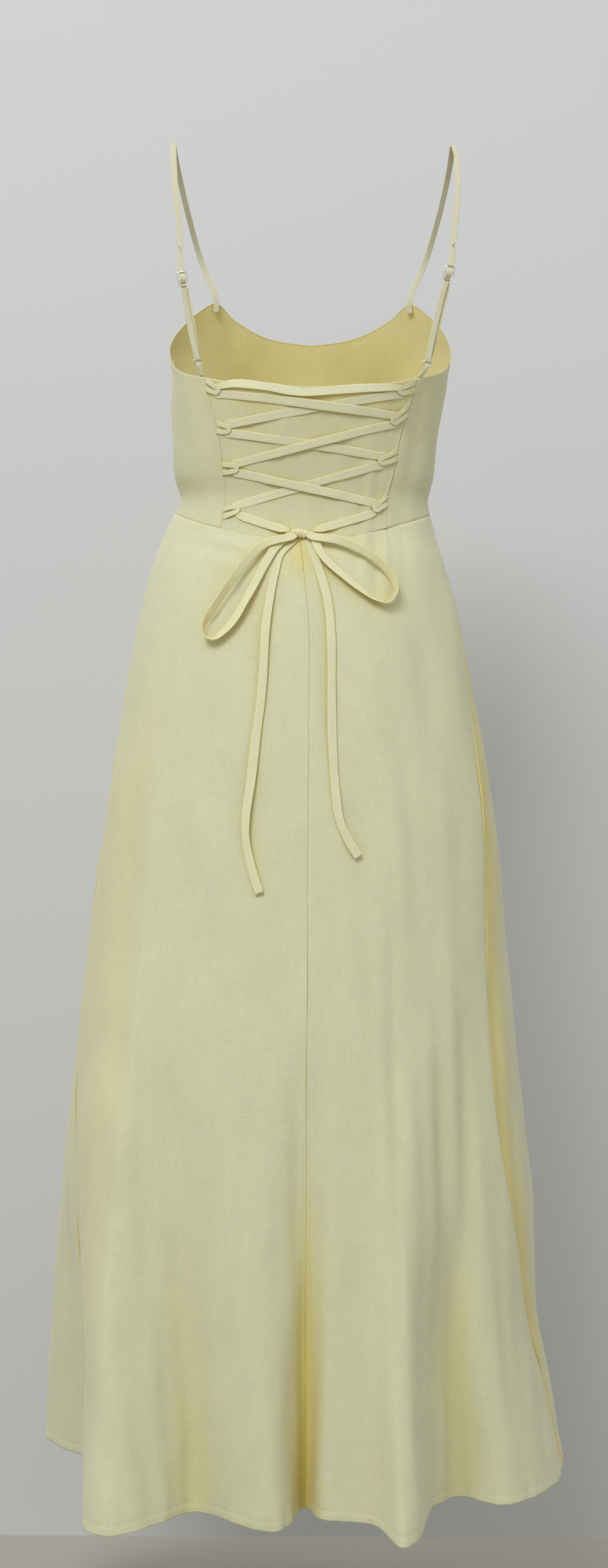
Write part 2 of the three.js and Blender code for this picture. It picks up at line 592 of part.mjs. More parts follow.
// ---------- straps, sliders, rings and tabs ----------
const BACKWARD = new THREE.Vector3(0, 1, 0);
const vector = (p) => new THREE.Vector3(p.x, p.y, p.z);
for (const [side, strap] of Object.entries(STRAPS)) {
  const slider = vector(strap.slider);
  const ring = vector(strap.ring);
  const down = ring.clone().sub(slider).normalize();
  const outward = BACKWARD.clone().addScaledVector(down, -down.y).normalize();
  const layer = STRAP.thick / 2 + GAP / 2 + 0.05; // each of the doubled layers' distance from their middle
  const overBar = WIRE / 2 + GAP + STRAP.thick / 2 + 0.1;
  const place = (from, alongDown, out) => ({
    point: from.clone().addScaledVector(down, alongDown).addScaledVector(outward, out),
    normal: outward,
    wide: STRAP.wide,
  });
  // Behind the front's top edge, up over the shoulder.
  const frontTop = topEdge(strap.front_at);
  const inside = bodyPoint(strap.front_at, frontTop);
  const back = new THREE.Vector3(0, WALL + GAP + STRAP.thick, 0);
  const over = new THREE.CatmullRomCurve3(
    [
      inside.clone().add(back).add(new THREE.Vector3(0, 1, -10)),
      inside.clone().add(back).add(new THREE.Vector3(0, 0, 4)),
      ...strap.over.map(vector),
      slider.clone().addScaledVector(down, -14).addScaledVector(outward, layer),
    ],
    false,
    "centripetal",
  );
  const centre = new THREE.Vector3(slider.x * 0.62, 0, -130); // the shoulder's middle, under the strap
  const stations = over.getPoints(26).map((point) => ({
    point,
    normal: point.clone().sub(centre).setX(0).normalize(),
    wide: STRAP.wide,
  }));
  // Through the slider: behind its upper rail, over its bar, behind its lower rail.
  const frameOut = layer + overBar + 0.2; // the slider's plane
  for (const [alongDown, out] of [
    [-5.8, layer],
    [-1.1, frameOut + overBar],
    [1.1, frameOut + overBar],
    [5.8, layer],
  ]) {
    stations.push(place(slider, alongDown, out));
  }
  // Down to the ring, round its upper wire and up again behind, to end under the slider.
  const wireTop = RING.high / 2 - WIRE / 2;
  const wrap = WIRE / 2 + GAP + STRAP.thick / 2 + 0.25;
  stations.push(place(ring, -30, layer), place(ring, -wireTop - 4, wrap), place(ring, -wireTop, wrap));
  stations[stations.length - 1].wide = STRAP.wide - 0.8;
  for (const angle of [36, 72, 108, 144]) {
    const turned = place(ring, -wireTop + wrap * Math.sin(degrees(angle)), wrap * Math.cos(degrees(angle)));
    turned.normal = outward
      .clone()
      .multiplyScalar(Math.cos(degrees(angle)))
      .addScaledVector(down, Math.sin(degrees(angle)));
    turned.wide = STRAP.wide - 0.8;
    stations.push(turned);
  }
  const returning = [place(ring, -wireTop, -wrap), place(ring, -wireTop - 4, -wrap)];
  returning.push(place(ring, -30, -layer), place(slider, 12, -layer));
  returning.forEach((station) => {
    station.normal = outward.clone().negate();
    stations.push(station);
  });
  returning[0].wide = STRAP.wide - 0.8;
  addPiece("strap_" + side, band(stations, STRAP.thick));

  // The slider's two slots and the ring's one hole, each turned square to the strap.
  const slot = (SLIDER.high - 3 * WIRE) / 2;
  const slots = [1, -1].map((way) => ({
    y: (way * (slot + WIRE)) / 2,
    wide: SLIDER.wide - 2 * WIRE,
    high: slot,
    corner: 1.6,
  }));
  const hole = { y: 0, wide: RING.wide - 2 * WIRE, high: RING.high - 2 * WIRE, corner: RING.corner - WIRE };
  const upright = new THREE.Matrix4().makeBasis(
    down.clone().cross(outward).normalize(),
    outward,
    down.clone().negate(),
  );
  const seat = (piece, at, out) => {
    piece.quaternion.setFromRotationMatrix(upright);
    piece.position.copy(at).addScaledVector(outward, out);
  };
  seat(addPiece("slider_" + side, flatFrame(SLIDER, slots), STEEL, 0.3, 1), slider, frameOut);
  seat(addPiece("ring_" + side, flatFrame(RING, [hole]), STEEL, 0.3, 1), ring, 0);

  // The tab runs round the ring's lower wire, both its ends meeting on the back's top edge.
  const fold = WIRE / 2 + GAP + TAB_THICK / 2 + 0.2;
  const edgeAt = princess(side)(TOP_EDGE[2].z) + Math.sign(ring.x) * 1.5;
  const edge = bodyPoint(edgeAt, topEdge(edgeAt));
  const edgeOut = overBack(edge.x, edge.z, 0).normal.setZ(0).normalize();
  const foot = edge.clone().addScaledVector(edgeOut, -WALL / 2);
  foot.z += GAP + 1.4;
  const lower = ring.clone().addScaledVector(down, wireTop);
  const acrossRing = outward.clone().cross(down);
  const alongEdge = new THREE.Vector3(0, 0, 1).cross(edgeOut);
  const meeting = TAB_THICK / 2 + 0.35; // each end's distance from the tab's middle at its foot
  const tab = [];
  const tabLeg = (way, shares) => {
    const top = lower.clone().addScaledVector(outward, way * fold * 0.9).addScaledVector(down, 1.6);
    const end = foot.clone().addScaledVector(edgeOut, way * meeting);
    for (const share of shares) {
      const turned = acrossRing.clone().lerp(alongEdge, share).normalize();
      tab.push({ point: top.clone().lerp(end, share), side: turned, wide: STRAP.wide - 1 });
    }
  };
  tabLeg(1, [1, 0.75, 0.5, 0.25, 0]);
  for (const angle of [0, 45, 90, 135, 180]) {
    const point = lower.clone().addScaledVector(outward, fold * Math.cos(degrees(angle)));
    point.addScaledVector(down, -fold * Math.sin(degrees(angle)));
    tab.push({ point, side: acrossRing, wide: STRAP.wide - 1 });
  }
  tabLeg(-1, [0, 0.25, 0.5, 0.75, 1]);
  addPiece("strap_tab_" + side, band(tab, TAB_THICK));
}

export default dress;
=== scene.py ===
"""A butter linen maxi dress with a laced back, as worn and hollow.

Metres, +Z up. The origin lies midway between the tops of the shoulder straps, the front faces -Y and
the wearer's left is +X. Places round the body are degrees: 0 is the centre back, 90 the wearer's left.
"""

import bpy
import numpy as np
from mathutils import Matrix, Vector


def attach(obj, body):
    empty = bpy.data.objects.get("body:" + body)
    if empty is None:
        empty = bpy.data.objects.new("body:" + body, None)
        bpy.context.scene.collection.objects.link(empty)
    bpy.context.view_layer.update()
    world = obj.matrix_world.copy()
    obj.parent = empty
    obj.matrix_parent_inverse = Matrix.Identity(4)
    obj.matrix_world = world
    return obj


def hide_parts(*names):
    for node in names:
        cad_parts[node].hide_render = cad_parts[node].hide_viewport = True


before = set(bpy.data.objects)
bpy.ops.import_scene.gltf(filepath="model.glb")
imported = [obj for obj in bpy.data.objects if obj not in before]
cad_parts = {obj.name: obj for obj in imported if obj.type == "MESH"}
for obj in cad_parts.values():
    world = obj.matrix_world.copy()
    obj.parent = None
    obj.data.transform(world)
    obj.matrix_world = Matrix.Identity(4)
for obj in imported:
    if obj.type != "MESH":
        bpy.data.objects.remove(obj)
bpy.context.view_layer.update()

# ---------- skirt ----------
# Two back panels and one front panel of light linen, cut flared and joined by plain seams. They hang
# from the waist seam in soft folds, and the hem is turned up twice and stitched by machine.


def table(columns, *rows):
    """A short table with named columns, as one array for each column."""
    return dict(zip(columns.split(), np.array(rows, float).T))


# The smooth section of the garment at each height: half its width, its middle in X, the X of its centre
# back, the Y of its widest place, its reach in Y, and how square its back and front are, where 2 is an
# ellipse.
SECTIONS = table(
    "z half shift seam mid back front round_back round_front",
    (-0.140, 0.1320, 0.0000, 0.0000, -0.035, 0.095, -0.104, 2.5, 2.3),
    (-0.200, 0.1450, 0.0030, 0.0030, -0.034, 0.094, -0.116, 2.6, 2.4),
    (-0.236, 0.1410, 0.0030, 0.0030, -0.030, 0.093, -0.120, 2.6, 2.4),
    (-0.262, 0.1390, 0.0055, 0.0055, -0.026, 0.090, -0.117, 2.5, 2.4),
    (-0.300, 0.1350, 0.0080, 0.0080, -0.020, 0.083, -0.109, 2.4, 2.3),
    (-0.338, 0.1320, 0.0090, 0.0090, -0.014, 0.076, -0.102, 2.4, 2.2),
    (-0.364, 0.1260, 0.0080, 0.0080, -0.011, 0.073, -0.098, 2.3, 2.2),
    (-0.395, 0.1380, 0.0120, 0.0120, -0.009, 0.077, -0.098, 2.2, 2.2),
    (-0.428, 0.1495, 0.0130, 0.0090, -0.008, 0.091, -0.106, 2.2, 2.2),
    (-0.492, 0.1650, 0.0120, 0.0030, -0.006, 0.108, -0.117, 2.2, 2.2),
    (-0.572, 0.1800, 0.0115, 0.0020, -0.004, 0.122, -0.129, 2.2, 2.2),
    (-0.684, 0.1980, 0.0100, 0.0020, 0.000, 0.138, -0.144, 2.2, 2.2),
    (-0.812, 0.2125, 0.0135, 0.0020, 0.000, 0.155, -0.160, 2.2, 2.2),
    (-0.940, 0.2300, 0.0190, 0.0015, 0.000, 0.172, -0.178, 2.2, 2.2),
    (-1.068, 0.2420, 0.0190, 0.0015, 0.000, 0.187, -0.196, 2.2, 2.2),
    (-1.196, 0.2470, 0.0180, 0.0015, 0.000, 0.200, -0.212, 2.2, 2.2),
    (-1.358, 0.2620, 0.0060, 0.0015, 0.000, 0.215, -0.230, 2.2, 2.2),
)
HEM_Z = -1.358
# The hem's folds in plan. drop: how far the hem hangs below HEM_Z there. starts: the height below which
# the cloth leaves the smooth section for the fold.
FOLDS = table(
    "at x y drop starts",
    (-84, -0.264, -0.007, -0.011, -0.560),
    (-71, -0.252, 0.065, -0.008, -0.580),
    (-61, -0.225, 0.118, -0.004, -0.700),
    (-53, -0.190, 0.148, -0.002, -0.820),
    (-46, -0.155, 0.127, -0.006, -0.870),
    (-38, -0.125, 0.160, -0.002, -0.880),
    (-28, -0.108, 0.235, 0.014, -0.900),
    (-22, -0.090, 0.250, 0.018, -0.930),
    (-15, -0.068, 0.216, 0.005, -0.950),
    (-10, -0.038, 0.206, 0.003, -0.930),
    (-5.5, -0.014, 0.200, 0.002, -0.900),
    (-1.5, -0.004, 0.163, 0.000, -0.890),
    (1.5, 0.0055, 0.162, 0.000, -0.890),
    (5.5, 0.0135, 0.196, 0.006, -0.900),
    (11, 0.032, 0.219, 0.011, -0.930),
    (20, 0.073, 0.195, 0.006, -0.900),
    (28, 0.108, 0.166, 0.003, -0.880),
    (37, 0.143, 0.199, 0.008, -0.830),
    (45, 0.184, 0.223, 0.015, -0.780),
    (52, 0.212, 0.196, 0.013, -0.750),
    (60, 0.217, 0.138, 0.006, -0.740),
    (72, 0.206, 0.060, -0.002, -0.760),
    (84, 0.212, -0.010, -0.006, -0.760),
    (96, 0.232, -0.069, -0.007, -0.720),
    (104, 0.256, -0.103, -0.008, -0.680),
    (117, 0.276, -0.165, -0.012, -0.640),
    (131, 0.216, -0.190, -0.008, -0.760),
    (149, 0.152, -0.250, -0.002, -0.800),
    (166, 0.080, -0.212, -0.006, -0.860),
    (181, 0.015, -0.252, -0.002, -0.840),
    (198, -0.060, -0.210, -0.006, -0.880),
    (215, -0.138, -0.250, -0.002, -0.820),
    (233, -0.204, -0.188, -0.008, -0.780),
    (248, -0.262, -0.152, -0.010, -0.660),
    (262, -0.268, -0.080, -0.012, -0.600),
)
WAIST = table(
    "at z",
    (0, -0.409),
    (20, -0.403),
    (36, -0.3945),
    (60, -0.384),
    (84, -0.377),
    (120, -0.383),
    (180, -0.392),
)
SIDE_SEAM = 84  # degrees from the centre back
HALF_TURN, TURN = 180, 360
# The skirt's right side seam rolls towards the back between the waist (down 0) and the hem (down 1).
RIGHT_SEAM = table(
    "down at",
    (0, 84),
    (0.11, 80.5),
    (0.22, 71),
    (0.37, 64),
    (0.59, 60),
    (0.71, 64),
    (0.83, 71),
    (1, 84),
)
FOLD_CURVE = 1.3  # how slowly a fold opens below its start
SEAM_REACH = 30  # degrees each way that the centre back's own line moves the cloth beside it
BUST = {"x": 0.072, "z": -0.256, "radius": 0.056, "rise": 0.013}
CLOTH = 0.0007  # thickness of the linen
# deep: how far the cloth sinks along a seam. turned: how far it turns in there, leaning by lean. warmth:
# how much painted shade, as a share of the deep colour, its turned edge has.
SEAM = {"deep": 0.0007, "half": 0.0011, "turned": 0.0030, "lean": 0.0006, "warmth": 0.6}
ALLOWANCE = {"rise": 0.000125, "wide": 0.009, "edge": 0.0024}  # pressed flat under the cloth by a seam
# shares of a panel where extra lines of points lie close to a seam
SEAM_LINES = np.array([0.0012, 0.0028, 0.005, 0.009, 0.014])
HEM = {
    "deep": 0.009,
    "rise": 0.00025,  # how much thicker it is there, over an edge this soft
    "edge": 0.0016,
    "stitch": 0.0002,
    "stitch_wide": 0.0011,
    "pucker": 0.018,  # how far up its stitching puckers the cloth
}


def read(rows, key, along, turn=0):
    """Every column at places along the key column, on a smooth curve through the rows. With a turn,
    the table runs on round after that many degrees."""
    n = len(rows[key])
    order = [-1, *range(n), 0, 1] if turn else [0, *range(n), n - 1]
    laps = np.array([-1, *[0] * n, 1, 1] if turn else [0] * (n + 2))
    ext = {name: column[order] for name, column in rows.items()}
    ext[key] = ext[key] + laps * turn
    keys = ext[key]
    along = np.asarray(along, float)
    if turn:
        along = (along - keys[1]) % turn + keys[1]
    way = np.sign(keys[-2] - keys[1])
    a = np.clip(np.searchsorted(way * keys[1:-1], way * along, side="right"), 1, len(keys) - 3)
    span = keys[a + 1] - keys[a]
    t = np.clip((along - keys[a]) / span, 0, 1)
    found = {}
    for name, column in ext.items():
        leave = (column[a + 1] - column[a - 1]) / (keys[a + 1] - keys[a - 1]) * span
        arrive = (column[a + 2] - column[a]) / (keys[a + 2] - keys[a]) * span
        found[name] = (
            ((2 * t - 3) * t * t + 1) * column[a]
            + ((t - 2) * t + 1) * t * leave
            + (3 - 2 * t) * t * t * column[a + 1]
            + (t - 1) * t * t * arrive
        )
    return found


def aside(at):
    """Degrees from the centre back, 0 to 180 on both sides."""
    return np.abs((np.asarray(at) + HALF_TURN) % TURN - HALF_TURN)


def waist_seam(at):
    return read(WAIST, "at", aside(at))["z"]


def body_point(at, z):
    """Points of the smooth garment, before any fold."""
    at, z = np.broadcast_arrays(np.asarray(at, float), np.asarray(z, float))
    s = read(SECTIONS, "z", z)
    across, along = np.sin(np.radians(at)), np.cos(np.radians(at))
    power = 2 / np.where(along > 0, s["round_back"], s["round_front"])
    beside = np.exp(-((aside(at) / SEAM_REACH) ** 2))
    middle = s["shift"] + (s["seam"] - s["shift"]) * beside
    x = middle + s["half"] * np.sign(across) * np.abs(across) ** power
    reach = np.where(along > 0, s["back"], s["front"])
    y = s["mid"] + (reach - s["mid"]) * np.abs(along) ** power
    for side in (1, -1):
        away = np.hypot(x - 0.004 - side * BUST["x"], z - BUST["z"]) / BUST["radius"]
        y = y - np.where(along < 0, BUST["rise"] * np.exp(-2 * away * away), 0)
    return np.stack([x, y, z], -1)


def skirt_point(at, down):
    """Points of the skirt: down is 0 at the waist seam and 1 at the hem."""
    fold = read(FOLDS, "at", at, TURN)
    hem = HEM_Z - fold["drop"]
    z = waist_seam(at) * (1 - down) + hem * down
    point = body_point(at, np.maximum(z, HEM_Z))
    smooth_hem = body_point(at, np.full_like(z, HEM_Z))
    opened = np.clip((fold["starts"] - z) / (fold["starts"] - hem), 0, None) ** FOLD_CURVE
    for axis, name in enumerate("xy"):
        point[..., axis] += opened * (fold[name] - smooth_hem[..., axis])
    point[..., 2] = z
    return point


def spread(count):
    """Shares from 0 to 1 with a few extra lines close to both ends, for seams and hems."""
    return np.unique(np.concatenate([np.linspace(0, 1, count + 1), SEAM_LINES, 1 - SEAM_LINES]))


def lengths(grid, axis):
    """Distance along the rows or columns of a grid of points, from the first one."""
    steps = np.linalg.norm(np.diff(grid, axis=axis), axis=-1)
    total = np.cumsum(steps, axis=axis)
    return np.concatenate([np.zeros_like(np.take(total, [0], axis)), total], axis=axis)


def unit(v):
    return v / np.linalg.norm(v, axis=-1, keepdims=True)


def outward(surface, across, down):
    """Unit normals of a surface whose across runs round to the wearer's left. They are read on both
    sides of a seam, so that two panels that share it turn together."""
    step = 0.002
    round_way = surface(across + step, down) - surface(across - step, down)
    down_way = surface(across, down + step) - surface(across, down - step)
    return unit(np.cross(round_way, down_way))


def crease_height(rows, grid):
    """Height of soft ridges (rise above 0) and troughs laid between two places in X and Z. Each
    widens as it runs, bends to one side by bend, and dies away at both ends."""
    x, z = grid[..., 0], grid[..., 2]
    height = np.zeros_like(x)
    for i in range(len(rows["x"])):
        c = {name: column[i] for name, column in rows.items()}
        run, fall = c["to_x"] - c["x"], c["to_z"] - c["z"]
        long = np.hypot(run, fall)
        along = ((x - c["x"]) * run + (z - c["z"]) * fall) / long**2
        bend = c["bend"] * np.sin(np.pi * np.clip(along, 0, 1))
        away = ((x - c["x"]) * fall - (z - c["z"]) * run) / long - bend
        wide = c["wide"] * (0.55 + 0.45 * np.clip(along, 0, 1))
        ends = np.sin(np.pi * np.clip(along, 0, 1)) ** 0.8
        height += c["rise"] * ends * np.exp(-((away / wide) ** 2))
    return height


LAP = 6.283  # one wave, in radians


def ripples(grid, seed, across, down, rise):
    """A faint unevenness of hanging cloth, from a few waves of random place and length."""
    rng = np.random.default_rng(seed)
    x, z = grid[..., 0] + grid[..., 1] * 0.7, grid[..., 2]
    height = np.zeros_like(x)
    for _ in range(12):
        kx, kz = LAP / (across * rng.uniform(0.5, 1.6)), LAP / (down * rng.uniform(0.5, 1.6))
        height += np.sin(kx * x + rng.choice([-1, 1]) * kz * z + rng.uniform(0, LAP))
    return height * rise / 3.5  # the 12 waves together seldom pass 3.5


def seam_height(distance, deep=1.0):
    """A fine groove with a pressed seam allowance beside it."""
    groove = -SEAM["deep"] * deep * np.exp(-((distance / SEAM["half"]) ** 2))
    return groove + ALLOWANCE["rise"] * (1 - np.tanh((distance - ALLOWANCE["wide"]) / ALLOWANCE["edge"]))


# Painted shade in folds, by a fold's depth: compared with the cloth within reach, it starts at from_depth
# and is full at full. The first row is for sharp folds and the second for broad hollows.
FOLD_LIGHT = (
    # reach, from_depth, full, share
    (0.020, 0.003, 0.010, 1.0),
    (0.045, 0.007, 0.026, 0.40),
)


def fold_depth(surface, across, down, grid, normal):
    """0 on open cloth, towards 1 in the bottom of a fold, by comparing with the cloth round about: the
    share of painted shade in folds.
    """
    wide = lengths(grid, 1)[:, -1:]
    deep = np.zeros(grid.shape[:2])
    for reach, from_depth, full, share in FOLD_LIGHT:
        places = [surface(across + k * reach / wide, down) for k in np.linspace(-1, 1, 9)]
        sunk = np.sum((np.mean(places, axis=0) - grid) * normal, axis=-1)
        deep += share * np.clip((sunk - from_depth) / (full - from_depth), 0, 1)
    return np.clip(deep, 0, 1)


def add_node(tree, kind, inputs=(), **settings):
    """A shader node with its settings; an input is a value or another node's socket."""
    made = tree.nodes.new("ShaderNode" + kind)
    for name, value in settings.items():
        setattr(made, name, value)
    for name, value in dict(inputs).items():
        if isinstance(value, bpy.types.NodeSocket):
            tree.links.new(value, made.inputs[name])
        else:
            made.inputs[name].default_value = value
    return made


# slub: waves for each metre across and along a thick place in the thread. The last four are how strongly
# each shows in the tone and in the height.
WEAVE = {
    "slub": (900, 45, 2),
    "cloud": (30, 18, 3),
    "cloud_tone": 0.10,
    "thread_tone": 0.03,
    "thread_height": 0.35,
    "slub_height": 1.2,
}


def linen_weave():
    """Plain weave along a UV map in metres: uneven threads, slubs and faint clouds of tone."""
    tree = bpy.data.node_groups.new("linen_weave", "ShaderNodeTree")
    for name, kind, way in (
        ("Thread", "NodeSocketFloat", "INPUT"),
        ("Slub", "NodeSocketFloat", "INPUT"),
        ("Tone", "NodeSocketFloat", "OUTPUT"),
        ("Height", "NodeSocketFloat", "OUTPUT"),
    ):
        tree.interface.new_socket(name, in_out=way, socket_type=kind)
    into, out = tree.nodes.new("NodeGroupInput"), tree.nodes.new("NodeGroupOutput")
    uv = add_node(tree, "UVMap", uv_map="UVMap").outputs["UV"]
    parts = add_node(tree, "SeparateXYZ", {0: uv})

    def math(operation, a, b=0.0, c=0.0):
        return add_node(tree, "Math", {0: a, 1: b, 2: c}, operation=operation).outputs[0]

    def noise(across, along, detail):
        vector = add_node(tree, "VectorMath", {0: uv, 1: (across, along, 1)}, operation="MULTIPLY")
        made = add_node(tree, "TexNoise", {"Vector": vector.outputs[0], "Scale": 1, "Detail": detail})
        return made.outputs["Fac"]

    half_wave = math("DIVIDE", 3.1416, into.outputs["Thread"])
    warp = math("SINE", math("MULTIPLY", parts.outputs["X"], half_wave))
    weft = math("SINE", math("MULTIPLY", parts.outputs["Y"], half_wave))
    weave = math("MULTIPLY", warp, weft)
    slub_across, slub_along, slub_detail = WEAVE["slub"]
    weft_slubs = noise(slub_along, slub_across, slub_detail)
    slubs = math("ADD", noise(slub_across, slub_along, slub_detail), weft_slubs)  # about 1
    clouds = noise(*WEAVE["cloud"])
    uneven = math("MULTIPLY", math("SUBTRACT", slubs, 1.0), into.outputs["Slub"])
    cloudy = math("SUBTRACT", clouds, 0.5)
    tone = math("MULTIPLY_ADD", cloudy, WEAVE["cloud_tone"], math("ADD", uneven, 1.0))
    tone = math("MULTIPLY_ADD", weave, WEAVE["thread_tone"], tone)
    slub_height = math("MULTIPLY", slubs, WEAVE["slub_height"])
    height = math("MULTIPLY_ADD", weave, WEAVE["thread_height"], slub_height)
    tree.links.new(tone, out.inputs["Tone"])
    tree.links.new(height, out.inputs["Height"])
    return tree


BUTTER = (0.64, 0.646, 0.448, 1)  # open cloth
# HONEY is a painted warm shade, in place of the light that passes from cloth to cloth in folds.
HONEY = (0.66, 0.555, 0.16, 1)  # where light has passed from cloth to cloth, deep in a fold
weave_group = linen_weave()


def linen(name, thread=0.0006, slub=0.16, open_colour=BUTTER, shade_colour=HONEY, warmth=0.0):
    """Linen cloth. warmth is how far the whole side is towards the deep colour, a painted warm shade."""
    material = bpy.data.materials.new(name)
    material.use_nodes = True
    tree = material.node_tree
    shader = tree.nodes["Principled BSDF"]
    shader.inputs["Roughness"].default_value = 0.88
    shader.inputs["Specular IOR Level"].default_value = 0.25
    shader.inputs["Sheen Weight"].default_value = 0.12
    shader.inputs["Sheen Roughness"].default_value = 0.5
    # Light spreads a little way in the thin cloth, and comes out warmer.
    shader.inputs["Subsurface Weight"].default_value = 0.5
    shader.inputs["Subsurface Radius"].default_value = (1.0, 0.8, 0.3)
    shader.inputs["Subsurface Scale"].default_value = 0.0025
    weave = add_node(tree, "Group", node_tree=weave_group)
    weave.inputs["Thread"].default_value = thread
    weave.inputs["Slub"].default_value = slub
    # Painted shade: the deep colour shows where the mesh's deep attribute says so, and where an ambient
    # occlusion node finds cloth closing in all round.
    fold = add_node(tree, "Attribute", attribute_name="deep").outputs["Fac"]
    warmed = {0: fold, 1: 1 - warmth, 2: warmth}
    fold = add_node(tree, "Math", warmed, operation="MULTIPLY_ADD", use_clamp=True).outputs[0]
    open_share = add_node(tree, "AmbientOcclusion", {"Distance": 0.040}, samples=3).outputs["AO"]
    occlusion_shade = {"Value": open_share, "From Min": 0.82, "From Max": 0.36, "To Max": 0.8}
    occlusion_shade = add_node(tree, "MapRange", occlusion_shade).outputs[0]
    deep = add_node(tree, "Math", {0: fold, 1: occlusion_shade}, operation="MAXIMUM").outputs[0]
    base = {"Factor": deep, 6: open_colour, 7: shade_colour}
    base = add_node(tree, "Mix", base, data_type="RGBA").outputs[2]
    toned = {0: base, "Scale": weave.outputs["Tone"]}
    toned = add_node(tree, "VectorMath", toned, operation="SCALE").outputs[0]
    relief = {"Height": weave.outputs["Height"], "Strength": 0.35, "Distance": 0.0003}
    bump = add_node(tree, "Bump", relief)
    tree.links.new(toned, shader.inputs["Base Color"])
    tree.links.new(bump.outputs["Normal"], shader.inputs["Normal"])
    return material


skirt_linen = linen("skirt_linen")
# The inside of the cloth is painted part of the way to the deep colour: a painted warm shade for light that
# comes through the linen.
skirt_inside = linen("skirt_inside", warmth=0.45)


def mesh_from_grid(name, grid, uv, deep, material, close=False):
    """A mesh of quads from a grid of points, with its UV map in metres and its fold depth, the share of
    painted shade. Where close is set, it is a tube whose columns run round it, with one face at each end."""
    rows, columns = grid.shape[:2]
    index = np.arange(rows * columns).reshape(rows, columns)
    if close:
        index = np.concatenate([index, index[:, :1]], axis=1)
    a, b = index[:-1, :-1], index[:-1, 1:]
    d, c = index[1:, :-1], index[1:, 1:]
    faces = np.stack([a, b, c, d], -1).reshape(-1, 4)
    flat_uv = uv.reshape(-1, 2)[faces.reshape(-1)]
    ends = []
    if close:
        # the last column's faces end where the first begin
        last = np.tile(np.arange(columns) == columns - 1, rows - 1)
        flat_uv = flat_uv.reshape(-1, 4, 2)
        flat_uv[last, 1:3, 0] = flat_uv[last, 0:1, 0] + 0.001
        ends = [index[0, -2::-1].tolist(), index[-1, :-1].tolist()]
        flat_uv = np.concatenate([flat_uv.reshape(-1, 2), uv[0, ::-1], uv[-1]])
    mesh = bpy.data.meshes.new(name)
    mesh.from_pydata(grid.reshape(-1, 3).tolist(), [], faces.tolist() + ends)
    layer = mesh.uv_layers.new(name="UVMap")
    layer.data.foreach_set("uv", flat_uv.astype(np.float32).reshape(-1))
    attribute = mesh.attributes.new("deep", "FLOAT", "POINT")
    attribute.data.foreach_set("value", np.asarray(deep, np.float32).reshape(-1))
    mesh.materials.append(material)
    mesh.shade_smooth()
    piece = bpy.data.objects.new(name, mesh)
    bpy.context.scene.collection.objects.link(piece)
    return piece


def apply_modifier(piece, kind, **settings):
    modifier = piece.modifiers.new(kind.lower(), kind)
    for name, value in settings.items():
        setattr(modifier, name, value)
    bpy.ops.object.select_all(action="DESELECT")
    piece.select_set(True)
    bpy.context.view_layer.objects.active = piece
    bpy.ops.object.modifier_apply(modifier=modifier.name)


def cloth_panel(node, surface, across, down, relief, materials, shaded=0.0):
    """A cloth shell on a panel's own form with its relief, in place of its CAD node. Along both of its
    side seams the cloth turns in, as a seam allowance does."""
    grid = surface(across, down)
    normal = outward(surface, across, down)
    run, fall = lengths(grid, 1), lengths(grid, 0)
    uv = np.stack([run - run[:, -1:] / 2, fall], -1)
    # Painted shade: the fold depth and the given shaded mask together set how far the cloth goes towards
    # the deep colour.
    deep = np.clip(fold_depth(surface, across, down, grid, normal) + shaded, 0, 1)
    shaped = grid + normal * relief[..., None]
    edges = []
    for edge, next_to in ((0, 1), (-1, -2)):
        along = unit(grid[:, next_to] - grid[:, edge])
        turned = shaped[:, edge] - normal[:, edge] * SEAM["turned"] + along * SEAM["lean"]
        edges.append(turned[:, None])
    shaped = np.concatenate([edges[0], shaped, edges[1]], axis=1)
    # The turned-in edges get painted shade, part of the way to the deep colour.
    beyond, warm = (SEAM["turned"], 0), SEAM["warmth"]
    uv = np.concatenate([uv[:, :1] - beyond, uv, uv[:, -1:] + beyond], axis=1)
    deep = np.concatenate([deep[:, :1] + warm, deep, deep[:, -1:] + warm], axis=1)
    piece = mesh_from_grid(node + "_cloth", shaped, uv, deep, materials[0])
    piece.data.materials.append(materials[1])
    apply_modifier(piece, "SOLIDIFY", thickness=CLOTH, offset=-1, material_offset=1)
    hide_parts(node)
    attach(piece, "root")
    return piece


